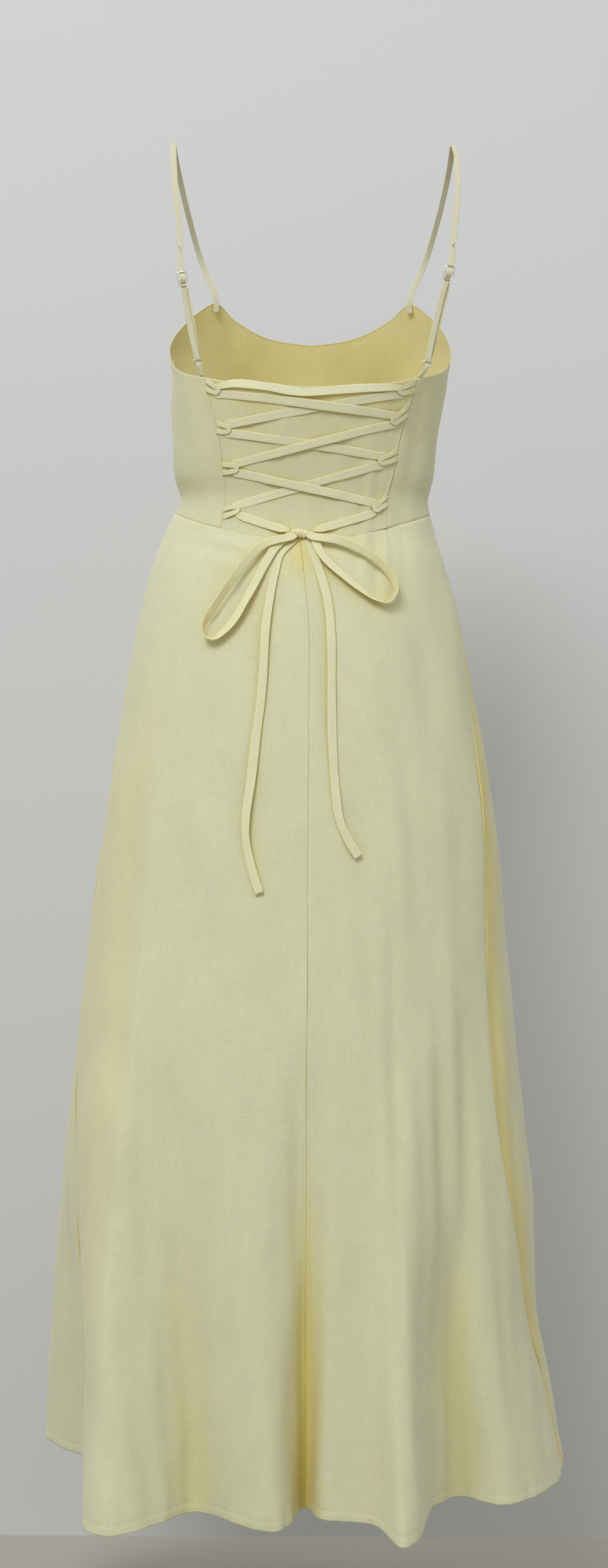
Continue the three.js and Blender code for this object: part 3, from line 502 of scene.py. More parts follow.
# Soft ridges and troughs, from a place at the top to one below. rise is the height, below 0 a trough.
BACK_CREASES = table(
    "x z to_x to_z wide rise bend",
    # upright creases beside the right seam, above the waist
    (-0.058, -0.330, -0.054, -0.410, 0.0050, 0.0011, 0.001),
    (-0.048, -0.340, -0.046, -0.408, 0.0045, -0.0010, 0.001),
    (-0.066, -0.300, -0.064, -0.380, 0.0045, -0.0010, 0.001),
    (-0.030, -0.350, -0.028, -0.420, 0.0060, 0.0007, 0.001),
    # drag lines from the loops
    (0.094, -0.292, 0.050, -0.300, 0.0040, -0.0008, 0.001),
    (0.088, -0.334, 0.048, -0.345, 0.0045, -0.0008, 0.001),
    (0.086, -0.380, 0.044, -0.370, 0.0050, 0.0008, 0.001),
    (-0.084, -0.322, -0.040, -0.336, 0.0045, 0.0008, 0.001),
    (-0.092, -0.276, -0.048, -0.284, 0.0045, -0.0008, 0.001),
    # across the back under the lacing
    (0.030, -0.270, 0.022, -0.390, 0.0100, 0.0008, 0.002),
    (-0.010, -0.280, -0.014, -0.400, 0.0110, -0.0008, 0.002),
    # side backs
    (0.128, -0.240, 0.112, -0.372, 0.0100, 0.0012, 0.003),
    (0.106, -0.260, 0.096, -0.384, 0.0080, -0.0009, 0.002),
    (-0.112, -0.236, -0.092, -0.376, 0.0090, -0.0011, 0.003),
    (-0.126, -0.240, -0.106, -0.384, 0.0090, 0.0010, 0.002),
    # drag lines from the left corner of the waist seam
    (0.116, -0.404, 0.052, -0.424, 0.0050, 0.0011, 0.003),
    (0.112, -0.414, 0.050, -0.434, 0.0055, -0.0012, 0.003),
    (0.120, -0.424, 0.058, -0.448, 0.0060, 0.0010, 0.004),
    # short upright creases below the right corner
    (-0.072, -0.392, -0.076, -0.462, 0.0042, 0.0014, 0.001),
    (-0.062, -0.392, -0.064, -0.470, 0.0048, -0.0016, 0.001),
    (-0.053, -0.394, -0.054, -0.452, 0.0045, 0.0012, -0.001),
    (-0.043, -0.396, -0.041, -0.448, 0.0050, -0.0010, 0.001),
    (-0.088, -0.388, -0.094, -0.450, 0.0050, -0.0008, 0.001),
    # below the knot
    (0.030, -0.412, 0.040, -0.520, 0.0090, -0.0010, 0.002),
    (0.012, -0.412, 0.013, -0.540, 0.0080, 0.0010, 0.001),
    (-0.010, -0.412, -0.020, -0.510, 0.0090, -0.0010, -0.002),
    # hips
    (0.124, -0.600, 0.150, -1.120, 0.0180, -0.0018, 0.004),
    # the long fold at the left edge of the back, and the hollow beyond it
    (0.147, -0.590, 0.184, -1.060, 0.0120, 0.0036, 0.002),
    (0.172, -0.610, 0.206, -1.060, 0.0140, -0.0026, 0.002),
    (0.181, -0.960, 0.214, -1.440, 0.0100, 0.0026, 0.001),
    (0.202, -0.960, 0.232, -1.440, 0.0120, -0.0024, 0.001),
    (-0.084, -0.440, -0.140, -0.680, 0.0240, -0.0030, 0.006),
    (-0.060, -0.520, -0.098, -0.900, 0.0200, 0.0018, 0.004),
    (-0.120, -0.620, -0.150, -1.000, 0.0180, 0.0020, 0.003),
    # left back panel, to the hem
    (0.064, -0.820, 0.102, -1.430, 0.0120, 0.0017, 0.004),
    (0.082, -0.900, 0.122, -1.440, 0.0120, -0.0018, 0.003),
    (0.050, -0.900, 0.074, -1.420, 0.0090, 0.0012, 0.002),
    (0.060, -1.060, 0.080, -1.240, 0.0060, -0.0014, 0.001),
    (0.034, -0.880, 0.052, -1.450, 0.0120, 0.0015, -0.002),
    (0.150, -0.960, 0.176, -1.440, 0.0110, -0.0014, 0.002),
    (0.168, -0.840, 0.196, -1.440, 0.0100, 0.0012, 0.002),
    # the lips of the fold at the centre back
    (-0.002, -0.880, -0.0115, -1.380, 0.0028, 0.0012, 0.000),
    (0.004, -0.900, 0.0130, -1.380, 0.0030, 0.0008, 0.000),
    # right back panel, to the hem
    (-0.024, -0.860, -0.036, -1.440, 0.0110, 0.0014, 0.002),
    (-0.046, -0.940, -0.056, -1.440, 0.0090, -0.0011, 0.001),
    (-0.128, -0.760, -0.166, -1.440, 0.0140, 0.0019, 0.004),
    (-0.146, -0.860, -0.190, -1.440, 0.0120, -0.0016, 0.003),
    (-0.170, -0.900, -0.214, -1.440, 0.0110, 0.0013, 0.003),
    (-0.104, -0.980, -0.118, -1.420, 0.0100, -0.0012, 0.002),
    (-0.066, -0.800, -0.076, -1.320, 0.0100, 0.0014, 0.002),
    (-0.079, -0.780, -0.090, -1.300, 0.0080, -0.0019, 0.002),
)
FRONT_CREASES = table(
    "x z to_x to_z wide rise bend",
    (0.060, -0.400, 0.080, -0.640, 0.0120, 0.0016, 0.004),
    (-0.050, -0.400, -0.076, -0.620, 0.0120, -0.0016, 0.003),
    (0.110, -0.520, 0.170, -1.060, 0.0200, -0.0020, 0.006),
    (-0.120, -0.540, -0.176, -1.080, 0.0190, 0.0020, 0.005),
    (0.020, -0.620, 0.030, -1.200, 0.0180, 0.0018, 0.004),
    (-0.040, -0.700, -0.052, -1.430, 0.0140, -0.0018, 0.003),
    (0.090, -0.860, 0.120, -1.440, 0.0130, 0.0018, 0.004),
    (0.046, -0.940, 0.060, -1.440, 0.0110, -0.0014, 0.002),
    (-0.100, -0.900, -0.124, -1.440, 0.0130, 0.0017, 0.003),
    (-0.160, -0.880, -0.200, -1.440, 0.0130, -0.0017, 0.003),
    (0.170, -0.900, 0.210, -1.440, 0.0120, 0.0016, 0.003),
)


# Beyond this line, down the long fold at the left of the back, the cloth is lit through the front's.
LEFT_FOLD = table(
    "z x",
    (-0.560, 0.144),
    (-0.745, 0.166),
    (-0.950, 0.181),
    (-1.080, 0.196),
    (-1.370, 0.226),
)
LEFT_LIGHT = {"share": 0.08, "soft": 0.008, "from_z": -0.50, "over": 0.15}
# The cloth just below the knot is in the shade of the knot and the tie's layers.
KNOT_SHADE = {"x": 0.010, "z": -0.424, "wide": 0.020, "high": 0.024, "share": 0.55}
# Beside its side seams the front hangs in the back's shade, and the light there comes through it.
FRONT_SHADE = {
    "from_z": -0.45,
    "over": 0.2,
    "left": 0.14,
    "left_wide": 0.06,
    "right": 0.7,
    "right_wide": 0.033,
}
# ripples: how long across and down, and how high
HANGING, UNEVEN, PUCKERED = (0.055, 0.60, 0.0011), (0.10, 0.22, 0.0007), (0.016, 0.4, 0.0007)
HIDDEN_WAIST = (-37, 33)  # between the princess seams the waist seam lies flat
FLAT_SEAM = 0.2  # how deep a seam is where it lies flat
CENTRE_SEAM = 0.35  # how deep the skirt's centre back seam is


def waist_seam_depth(at):
    """The waist seam lies flat across the centre back, and shows from the princess seams outwards."""
    return np.where((at > HIDDEN_WAIST[0]) & (at < HIDDEN_WAIST[1]), FLAT_SEAM, 1.0)


def centre_back(down):
    return np.zeros_like(down)


def left_seam(down):
    return np.full_like(down, SIDE_SEAM)


def right_seam(down):
    return -read(RIGHT_SEAM, "down", np.clip(down, 0, 1))["at"]


def skirt_panel(node, seam_a, seam_b, columns, rows, creases, seed):
    """One skirt panel between two seams, each a place round the body at every height."""
    hem_lines = 1 - HEM["deep"] * np.array([0.9, 1, 1.1])
    down = np.unique(np.concatenate([spread(rows), hem_lines]))
    across, down = np.broadcast_arrays(spread(columns)[None, :], down[:, None])

    def at_of(across, down):
        return seam_a(down) * (1 - across) + seam_b(down) * across

    def surface(across, down):
        return skirt_point(at_of(across, down), down)

    grid = surface(across, down)
    from_start, from_top = lengths(grid, 1), lengths(grid, 0)
    to_end, to_hem = from_start[:, -1:] - from_start, from_top[-1:] - from_top
    centre_seam, side_seam = (to_end, from_start) if seam_b is centre_back else (from_start, to_end)
    if node == "skirt_front":
        relief = seam_height(from_start) + seam_height(to_end)
    else:
        relief = seam_height(side_seam) + seam_height(centre_seam, CENTRE_SEAM)
    relief += seam_height(from_top, waist_seam_depth(at_of(across, down)))
    hang = np.clip(down * 1.4, 0, 1)
    relief += crease_height(creases, grid)
    relief += ripples(grid, seed, *HANGING) * hang
    relief += ripples(grid, seed + 1, *UNEVEN)
    # The turned-up hem: thicker below its stitching, and a little puckered by it.
    turned_up = 0.5 - 0.5 * np.tanh((to_hem - HEM["deep"]) / HEM["edge"])
    stitching = -HEM["stitch"] * np.exp(-(((to_hem - HEM["deep"]) / HEM["stitch_wide"]) ** 2))
    pucker = ripples(grid, seed + 2, *PUCKERED) * np.exp(-((to_hem / HEM["pucker"]) ** 2))
    relief += turned_up * HEM["rise"] + stitching + pucker
    x, z = grid[..., 0], grid[..., 2]
    if node == "skirt_front":
        shade = FRONT_SHADE
        left = shade["left"] * np.exp(-((from_start / shade["left_wide"]) ** 2))
        right = shade["right"] * np.exp(-((to_end / shade["right_wide"]) ** 2))
        shaded = np.clip((shade["from_z"] - z) / shade["over"], 0, 1) * (left + right)
    else:
        aside_knot = ((x - KNOT_SHADE["x"]) / KNOT_SHADE["wide"]) ** 2
        below_knot = ((z - KNOT_SHADE["z"]) / KNOT_SHADE["high"]) ** 2
        shaded = KNOT_SHADE["share"] * np.exp(-aside_knot - below_knot)
        beyond = (x - read(LEFT_FOLD, "z", z)["x"]) / LEFT_LIGHT["soft"]
        low = np.clip((LEFT_LIGHT["from_z"] - z) / LEFT_LIGHT["over"], 0, 1)
        shaded += LEFT_LIGHT["share"] * (1 + np.tanh(beyond)) * low
    piece = cloth_panel(node, surface, across, down, relief, (skirt_linen, skirt_inside), shaded)


def right_seam_round(down):
    """The same seam, as the end of a panel that runs on round the front."""
    return TURN + right_seam(down)


# Each call has the panel's node, its seams, its columns and rows, its creases and its seed.
skirt_panel("skirt_back_right", right_seam, centre_back, 120, 190, BACK_CREASES, 3)
skirt_panel("skirt_back_left", centre_back, left_seam, 120, 190, BACK_CREASES, 7)
skirt_panel("skirt_front", left_seam, right_seam_round, 190, 180, FRONT_CREASES, 11)

# ---------- bodice ----------
# A centre back panel between two princess seams, a side back panel on each side and a darted front,
# all of the same linen, faced at the top edge and sewn to the skirt at the waist.
TOP_EDGE = table(
    "at z",
    (0, -0.256),
    (20, -0.2535),
    (44, -0.2445),
    (56, -0.240),
    (70, -0.232),
    (84, -0.219),
    (93, -0.203),
    (104, -0.185),
    (120, -0.163),
    (134, -0.150),
    (148, -0.166),
    (165, -0.183),
    (180, -0.190),
)
PRINCESS = table(
    "z left right",
    (-0.244, 44, -46),
    (-0.290, 37.5, -43),
    (-0.338, 34, -39.8),
    (-0.364, 35.8, -38.6),
    (-0.395, 33, -37.2),
)
# The front's darts: each runs from the waist seam up towards the bust.
DARTS = table("x z to_x to_z", (0.056, -0.392, 0.068, -0.292), (-0.044, -0.392, -0.060, -0.292))
# A painted shade: the same linen as the skirt's, made darker for the bodice.
SHADED_BUTTER = (0.585, 0.592, 0.408, 1)  # worn close, so less light comes through it
# The right princess seam is pressed towards the centre, and its fold stands up as a fine ridge.
PRESSED_SEAM = {"at": 0.0016, "wide": 0.0013, "rise": 0.0009, "groove_wide": 0.0006, "groove": 0.0004}
BAR_SHADE = {"at": 0.013, "wide": 0.010, "share": 0.45}  # the back is in its shade under the tie's top bar
# The faced top edge is a little thicker and rolls over.
FACED_EDGE = {"deep": 0.006, "rise": 0.0004, "roll_deep": 0.0009, "roll": 0.0005}
SMOOTH_WEAR = (0.05, 0.12, 0.0004)  # ripples of cloth that is worn close
MID_BACK_Z = -0.319  # halfway down the bodice, where the search for a point's height starts
bodice_linen = linen("bodice_linen", open_colour=SHADED_BUTTER)
# Its inside has the same painted warm shade as the skirt's.
bodice_inside = linen("bodice_inside", open_colour=SHADED_BUTTER, warmth=0.45)


def top_edge(at):
    return read(TOP_EDGE, "at", aside(at))["z"]


def princess(side):
    return lambda z: read(PRINCESS, "z", z)[side]


def bodice_grid(seam_a, seam_b, across, down):
    """Points of the bodice between two seams that are places round the body at each height."""
    z = np.full(np.broadcast_shapes(across.shape, down.shape), MID_BACK_Z)
    for _ in range(8):
        at = seam_a(z) * (1 - across) + seam_b(z) * across
        z = top_edge(at) * (1 - down) + waist_seam(at) * down
    return body_point(at, z)


def bodice_panel(node, seam_a, seam_b, columns, rows, seed):
    across, down = np.broadcast_arrays(spread(columns)[None, :], spread(rows)[:, None])

    def surface(across, down):
        return bodice_grid(seam_a, seam_b, across, down)

    grid = surface(across, down)
    from_start, from_top = lengths(grid, 1), lengths(grid, 0)
    to_end, to_waist = from_start[:, -1:] - from_start, from_top[-1:] - from_top
    at_centre = node == "bodice_centre_back"
    relief = seam_height(to_end) + seam_height(to_waist, FLAT_SEAM if at_centre else 1.0)
    if at_centre:
        seam = PRESSED_SEAM
        ridge = seam["rise"] * np.exp(-(((from_start - seam["at"]) / seam["wide"]) ** 2))
        relief += ridge - seam["groove"] * np.exp(-((from_start / seam["groove_wide"]) ** 2))
    else:
        relief += seam_height(from_start)
    relief += ripples(grid, seed, *SMOOTH_WEAR)
    under_bar = np.exp(-(((from_top - BAR_SHADE["at"]) / BAR_SHADE["wide"]) ** 2))
    shaded = BAR_SHADE["share"] * at_centre * under_bar
    if node == "bodice_front":
        x, z = grid[..., 0], grid[..., 2]
        for i in range(2):
            along = np.clip((z - DARTS["z"][i]) / (DARTS["to_z"][i] - DARTS["z"][i]), 0, 1)
            line = DARTS["x"][i] + (DARTS["to_x"][i] - DARTS["x"][i]) * along
            relief += seam_height(np.abs(x - line)) * (z < DARTS["to_z"][i])
    else:
        relief += crease_height(BACK_CREASES, grid)
    thicker = FACED_EDGE["rise"] * np.exp(-((from_top / FACED_EDGE["deep"]) ** 2))
    relief += thicker - FACED_EDGE["roll"] * np.exp(-((from_top / FACED_EDGE["roll_deep"]) ** 2))
    piece = cloth_panel(node, surface, across, down, relief, (bodice_linen, bodice_inside), shaded)


def side_seam(side):
    return lambda z: np.full_like(z, side * SIDE_SEAM)


def right_side_round(z):
    """The right side seam, as the end of a panel that runs on round the front."""
    return np.full_like(z, TURN - SIDE_SEAM)


bodice_panel("bodice_centre_back", princess("right"), princess("left"), 90, 80, 21)
bodice_panel("bodice_side_back_left", princess("left"), side_seam(1), 56, 80, 22)
bodice_panel("bodice_side_back_right", side_seam(-1), princess("right"), 56, 80, 23)
bodice_panel("bodice_front", side_seam(1), right_side_round, 130, 90, 24)

# ---------- shoulder straps ----------
# Narrow tubes of the same linen, turned and pressed flat. Each is single over the shoulder, runs
# through its slider, down to its ring and back up behind itself, and ends on the slider's bar.
STRAP = {"wide": 0.0058, "thick": 0.0016}
GAP = 0.0003  # between pieces that touch
WIRE = 0.0012  # how thick a ring's and a slider's frame is
RING = {"wide": 0.0094, "high": 0.0072, "corner": 0.0024}
SLIDER = {"wide": 0.0106, "high": 0.015, "corner": 0.003}
# How far out things lie from the line between a strap's two layers: each layer, a layer that passes over
# a bar (from the bar's middle), and the slider's frame. Each has a hair of play, so that none share a face.
LAYER_OUT = STRAP["thick"] / 2 + GAP / 2 + 0.00005
OVER_BAR = WIRE / 2 + GAP + STRAP["thick"] / 2 + 0.0001
FRAME_OUT = LAYER_OUT + OVER_BAR + 0.0002
ROUND_WIRE = WIRE / 2 + GAP + STRAP["thick"] / 2 + 0.00025  # a strap's middle where it turns round a ring
ASIDE = 0.0011  # the two layers lie a little beside each other
HALF_ROUND = np.radians([0, 45, 90, 135, 180])
STRAPS = {
    "left": {
        "front_at": 134,
        "over": [
            (0.118, -0.098, -0.104),
            (0.132, -0.070, -0.056),
            (0.141, -0.038, -0.018),
            (0.144, -0.014, -0.002),
            (0.144, 0.004, 0.000),
            (0.143, 0.020, -0.015),
            (0.140, 0.041, -0.0545),
            (0.135, 0.055, -0.099),
        ],
        "slider": (0.1315, 0.0615, -0.146),
        "ring": (0.1155, 0.0645, -0.229),
    },
    "right": {
        "front_at": -134,
        "over": [
            (-0.117, -0.098, -0.104),
            (-0.131, -0.070, -0.056),
            (-0.139, -0.038, -0.018),
            (-0.141, -0.014, -0.002),
            (-0.1415, 0.004, 0.000),
            (-0.1445, 0.020, -0.0155),
            (-0.1445, 0.041, -0.057),
            (-0.141, 0.055, -0.096),
        ],
        "slider": (-0.1355, 0.0615, -0.138),
        "ring": (-0.1145, 0.061, -0.229),
    },
}
strap_linen = linen("strap_linen", thread=0.0005, slub=0.10, open_colour=(0.57, 0.57, 0.43, 1))


def smooth_line(points, count):
    """Points along one smooth curve through given points."""
    p = np.array(points, float)
    p = np.vstack([2 * p[0] - p[1], p, 2 * p[-1] - p[-2]])
    place = np.linspace(0, len(p) - 3, count + 1)
    i = np.minimum(place.astype(int), len(p) - 4)
    t = (place - i)[:, None]
    p0, p1, p2, p3 = (p[i + k] for k in range(4))
    d0, d1, d2 = (
        np.sqrt(np.linalg.norm(b - a, axis=1))[:, None] for a, b in ((p0, p1), (p1, p2), (p2, p3))
    )
    leave = ((p1 - p0) / d0 - (p2 - p0) / (d0 + d1) + (p2 - p1) / d1) * d1
    arrive = ((p2 - p1) / d1 - (p3 - p1) / (d1 + d2) + (p3 - p2) / d2) * d1
    return (
        ((2 * t - 3) * t * t + 1) * p1
        + ((t - 2) * t + 1) * t * leave
        + (3 - 2 * t) * t * t * p2
        + (t - 1) * t * t * arrive
    )


# Half the section of a pressed band, from its sewn edge to its folded one, as shares of half its width
# and half its thickness. The dip beside the sewn edge is its line of stitching.
BAND_SECTION = table(
    "across lift",
    (1.00, 0.00),
    (0.975, 0.62),
    (0.89, 1.00),
    (0.77, 0.62),
    (0.66, 0.98),
    (0.38, 0.86),
    (0.05, 0.80),
    (-0.30, 0.82),
    (-0.62, 0.92),
    (-0.88, 1.00),
    (-0.975, 0.62),
    (-1.00, 0.00),
    (-0.975, -0.62),
    (-0.86, -1.00),
    (-0.50, -0.88),
    (0.00, -0.80),
    (0.50, -0.88),
    (0.86, -1.00),
    (0.975, -0.62),
)


def ribbon(name, line, facing, wide, thick, material, pinch=0.0, side=None):
    """A soft flat band along a line, which looks towards facing. Its edges are folded, so they are a
    little thicker than its middle, and where pinch is above 0 it is drawn into lengthwise creases
    with painted shade in them."""
    line = np.asarray(line, float)
    count = len(line)
    ahead = unit(np.gradient(line, axis=0))
    if side is None:
        side = unit(np.cross(ahead, facing))
    face = unit(np.cross(side, ahead))
    u, v = BAND_SECTION["across"], BAND_SECTION["lift"]
    wide = np.broadcast_to(wide, count)[:, None]
    pinch = np.broadcast_to(pinch, count)[:, None]
    lift = v * thick / 2 + np.sign(v) * pinch * thick * 0.30 * np.cos(2.5 * np.pi * u)
    grid = line[:, None] + side[:, None] * (u * wide / 2)[..., None] + face[:, None] * lift[..., None]
    run = lengths(line[:, None], 0)[:, 0]
    along = np.broadcast_to(run[:, None], grid.shape[:2])
    uv = np.stack([np.broadcast_to(u * 0.5, grid.shape[:2]) * wide, along], -1)
    # painted shade where the band is pinched
    deep = np.broadcast_to(pinch * 0.5, grid.shape[:2])
    return mesh_from_grid(name, grid[:, ::-1], uv[:, ::-1], deep, material, close=True)


def in_place_of(piece, node):
    """Puts a finished piece in the place of its CAD node."""
    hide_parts(node)
    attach(piece, "root")
    return piece


def strap_frame(strap):
    """The slider's and the ring's places, the way down the strap and the way out from the back."""
    slider, ring = np.array(strap["slider"]), np.array(strap["ring"])
    down = unit(ring - slider)
    out = np.array([0.0, 1.0, 0.0])
    return slider, ring, down, unit(out - down * (out @ down))


for name, strap in STRAPS.items():
    slider, ring, down, out = strap_frame(strap)
    across = unit(np.cross(down, out))
    # Over the shoulder, from inside the front's top edge to the slider.
    front = body_point(strap["front_at"], top_edge(strap["front_at"]))
    inside = front + (0, 0.0012 + GAP + STRAP["thick"], 0)
    sewn_on = [inside + (0, 0.001, -0.010), inside + (0, 0, 0.004)]
    shoulder = smooth_line([*sewn_on, *strap["over"], slider - 0.014 * down + LAYER_OUT * out], 110)
    facing = shoulder - (slider[0] * 0.62, 0, -0.130)
    facing[:, 0] = 0
    # Over the slider's bar, down to the ring, round it and back up behind: down from the place, and out.
    wire_top = RING["high"] / 2 - WIRE / 2
    bar = FRAME_OUT + OVER_BAR
    over_slider = (
        (-0.0058, LAYER_OUT + 0.0003),
        (-0.0025, bar - 0.0004),
        (0, bar + 0.0002),
        (0.0025, bar - 0.0004),
        (0.0062, LAYER_OUT + 0.0003),
    )
    lower = [slider + below * down + away * out for below, away in over_slider]
    lower += [
        slider + 0.016 * down + LAYER_OUT * out + ASIDE * across,
        ring - 0.030 * down + LAYER_OUT * out + ASIDE * across,
        ring - (wire_top + 0.005) * down + ROUND_WIRE * out + 0.0004 * across,
    ]
    lower += [
        ring + (-wire_top + ROUND_WIRE * np.sin(a)) * down + ROUND_WIRE * np.cos(a) * out
        for a in HALF_ROUND
    ]
    lower += [
        ring - (wire_top + 0.005) * down - ROUND_WIRE * out - 0.0004 * across,
        ring - 0.030 * down - LAYER_OUT * out - ASIDE * across,
        slider + 0.020 * down - LAYER_OUT * out - ASIDE * across,
        slider + 0.010 * down - LAYER_OUT * out - ASIDE * 0.6 * across,
    ]
    low = smooth_line(lower, 150)
    line = np.vstack([shoulder, low])
    # Its face turns from the shoulder's to the back's over the last few points before the slider.
    ahead = unit(np.gradient(line, axis=0))
    faces_to = np.vstack([unit(facing), np.repeat(out[None], len(low), 0)])
    side = unit(np.cross(ahead, faces_to))
    side[len(shoulder) :] = -across
    turning = slice(len(shoulder) - 12, len(shoulder))
    blend = np.linspace(0, 1, 12)[:, None]
    side[turning] = unit(side[turning] * (1 - blend) - across * blend)
    size = (STRAP["wide"], STRAP["thick"])
    piece = ribbon("strap_%s_tube" % name, line, None, *size, strap_linen, side=side)
    in_place_of(piece, "strap_" + name)

# ---------- sliders and rings ----------
# Small frames of bright plated wire. A slider has a bar across its middle, and a ring is a rounded
# oblong. Both are bought in and are held by the straps alone.
WIRE_SIDES = 12
CORNER_STEPS = 32  # round all four corners
SOFT_EDGE = 0.7  # radians: a flatter edge than this is shaded smooth
polished = bpy.data.materials.new("polished_wire")
polished.use_nodes = True
steel = polished.node_tree.nodes["Principled BSDF"]
steel.inputs["Metallic"].default_value = 1
rub = add_node(
    polished.node_tree,
    "TexNoise",
    {"Vector": add_node(polished.node_tree, "TexCoord").outputs["Object"], "Scale": 900, "Detail": 3},
)
rubbed = {"Value": rub.outputs["Fac"], "To Min": 0.16, "To Max": 0.34}
rub_range = add_node(polished.node_tree, "MapRange", rubbed)
plating = add_node(
    polished.node_tree,
    "Mix",
    {"Factor": rub.outputs["Fac"], 6: (0.56, 0.57, 0.58, 1), 7: (0.74, 0.75, 0.76, 1)},
    data_type="RGBA",
)
polished.node_tree.links.new(rub_range.outputs["Result"], steel.inputs["Roughness"])
polished.node_tree.links.new(plating.outputs[2], steel.inputs["Base Color"])


def wire_frame(name, size, bar):
    """A rounded oblong of round wire, flat in X and Z about the origin, with a bar if it has one."""
    bpy.ops.object.select_all(action="DESELECT")
    bpy.ops.mesh.primitive_torus_add(
        major_segments=CORNER_STEPS,
        minor_segments=WIRE_SIDES,
        major_radius=size["corner"],
        minor_radius=WIRE / 2,
        rotation=(np.pi / 2, 0, 0),
    )
    piece = bpy.context.active_object
    piece.name = name
    bpy.ops.object.transform_apply(location=False, rotation=True, scale=False)
    bpy.ops.object.mode_set(mode="EDIT")
    bpy.ops.mesh.select_all(action="SELECT")
    half_step = np.pi / CORNER_STEPS  # so that no corner's points lie on an axis
    bpy.ops.transform.rotate(value=half_step, orient_axis="Y", center_override=(0, 0, 0))
    for axis, long in ((0, size["wide"]), (2, size["high"])):
        for way in (1, -1):
            bpy.ops.object.mode_set(mode="OBJECT")
            for vertex in piece.data.vertices:
                vertex.select = vertex.co[axis] * way > 0
            for edge in piece.data.edges:
                edge.select = all(piece.data.vertices[v].select for v in edge.vertices)
            for face in piece.data.polygons:
                face.select = all(piece.data.vertices[v].select for v in face.vertices)
            bpy.ops.object.mode_set(mode="EDIT")
            step = [0.0, 0.0, 0.0]
            step[axis] = way * (long / 2 - size["corner"] - WIRE / 2)
            bpy.ops.transform.translate(value=step)
    bpy.ops.object.mode_set(mode="OBJECT")
    if bar:
        bpy.ops.object.select_all(action="DESELECT")
        bpy.ops.mesh.primitive_cylinder_add(
            vertices=WIRE_SIDES, radius=WIRE / 2, depth=size["wide"] - WIRE, rotation=(0, np.pi / 2, 0)
        )
        rod = bpy.context.active_object
        bpy.ops.object.transform_apply(location=False, rotation=True, scale=False)
        rod.select_set(True)
        piece.select_set(True)
        bpy.context.view_layer.objects.active = piece
        bpy.ops.object.join()
    piece.data.materials.clear()
    piece.data.materials.append(polished)
    bpy.ops.object.shade_smooth_by_angle(angle=SOFT_EDGE)
    return piece


for name, strap in STRAPS.items():
    slider, ring, down, out = strap_frame(strap)
    across = unit(np.cross(down, out))
    upright = Matrix(np.column_stack([across, out, -down]).tolist()).to_4x4()
    for kind, size, place in (("slider", SLIDER, slider + FRAME_OUT * out), ("ring", RING, ring)):
        piece = wire_frame("%s_%s_wire" % (kind, name), size, bar=kind == "slider")
        piece.data.transform(Matrix.Translation(Vector(place)) @ upright)
        in_place_of(piece, "%s_%s" % (kind, name))

# ---------- ring tabs ----------
# A short loop of strap on each side, sewn into the top of the princess seam with both ends together,
# holds the ring.
TAB_THICK = 0.0011
for name, strap in STRAPS.items():
    slider, ring, down, out = strap_frame(strap)
    fold = WIRE / 2 + GAP + TAB_THICK / 2 + 0.0002
    edge_at = princess(name)(TOP_EDGE["z"][2]) + np.sign(ring[0]) * 1.5
    edge = body_point(edge_at, top_edge(edge_at))
    edge_out = outward(lambda a, d: body_point(a, -d), edge_at, -edge[2])
    edge_out = unit(edge_out * (1, 1, 0))
    foot = edge - 0.0006 * edge_out + (0, 0, 0.0005)
    wire_low = ring + (RING["high"] / 2 - WIRE / 2) * down
    meeting = TAB_THICK / 2 + 0.0002
    across_ring, along_edge = np.cross(out, down), np.cross((0, 0, 1), edge_out)
    turn = [wire_low + fold * np.cos(a) * out - fold * np.sin(a) * down for a in HALF_ROUND]
    points = [foot + meeting * edge_out, wire_low + fold * 0.9 * out + 0.0016 * down, *turn]
    points += [wire_low - fold * 0.9 * out + 0.0016 * down, foot - meeting * edge_out]
    line = smooth_line(points, 64)
    twist = np.clip((line - wire_low) @ down / np.linalg.norm(foot - wire_low), 0, 1)[:, None]
    side = unit(across_ring * (1 - twist) + along_edge * twist)
    size = (STRAP["wide"] - 0.001, TAB_THICK)
    piece = ribbon("strap_tab_%s_band" % name, line, None, *size, strap_linen, side=side)
    in_place_of(piece, "strap_tab_" + name)

# ---------- lacing loops ----------
# Four small loops of narrow folded linen on each side, both ends sewn into the princess seam. The tie is
# laced through them, so each is drawn a little towards the stretch that pulls on it.
LOOPS = {
    "left_1": {"z": -0.252, "tip": (0.0935, -0.258)},
    "left_2": {"z": -0.2945, "tip": (0.083, -0.297)},
    "left_3": {"z": -0.336, "tip": (0.0755, -0.336)},
    "left_4": {"z": -0.381, "tip": (0.074, -0.3775)},
    "right_1": {"z": -0.252, "tip": (-0.0855, -0.257)},
    "right_2": {"z": -0.2755, "tip": (-0.0785, -0.2865)},
    "right_3": {"z": -0.3205, "tip": (-0.067, -0.327)},
    "right_4": {"z": -0.365, "tip": (-0.0615, -0.374)},
}
LOOP = {"wide": 0.0048, "thick": 0.0007, "foot": 0.0046, "tip": 0.0026, "lift": 0.0024}
tie_linen = linen("tie_linen", thread=0.0005, slub=0.12, open_colour=(0.69, 0.685, 0.475, 1))


def over_back(x, z, height):
    """Points over the smooth back at x and z, moved out from the cloth, and the way out there."""

    def surface(px, pz):
        s = read(SECTIONS, "z", pz)
        share = np.minimum(np.abs(px - s["shift"]) / s["half"], 1)
        y = s["mid"] + (s["back"] - s["mid"]) * (1 - share ** s["round_back"]) ** (1 / s["round_back"])
        return np.stack([px, y, pz], -1)

    x, z = np.asarray(x, float), np.asarray(z, float)
    here = surface(x, z)
    out = unit(np.cross(surface(x, z + 0.001) - here, surface(x + 0.001, z) - here))
    return here + out * np.asarray(height)[..., None], out


def on_side(loop_name):
    return 1 if loop_name.startswith("left") else -1


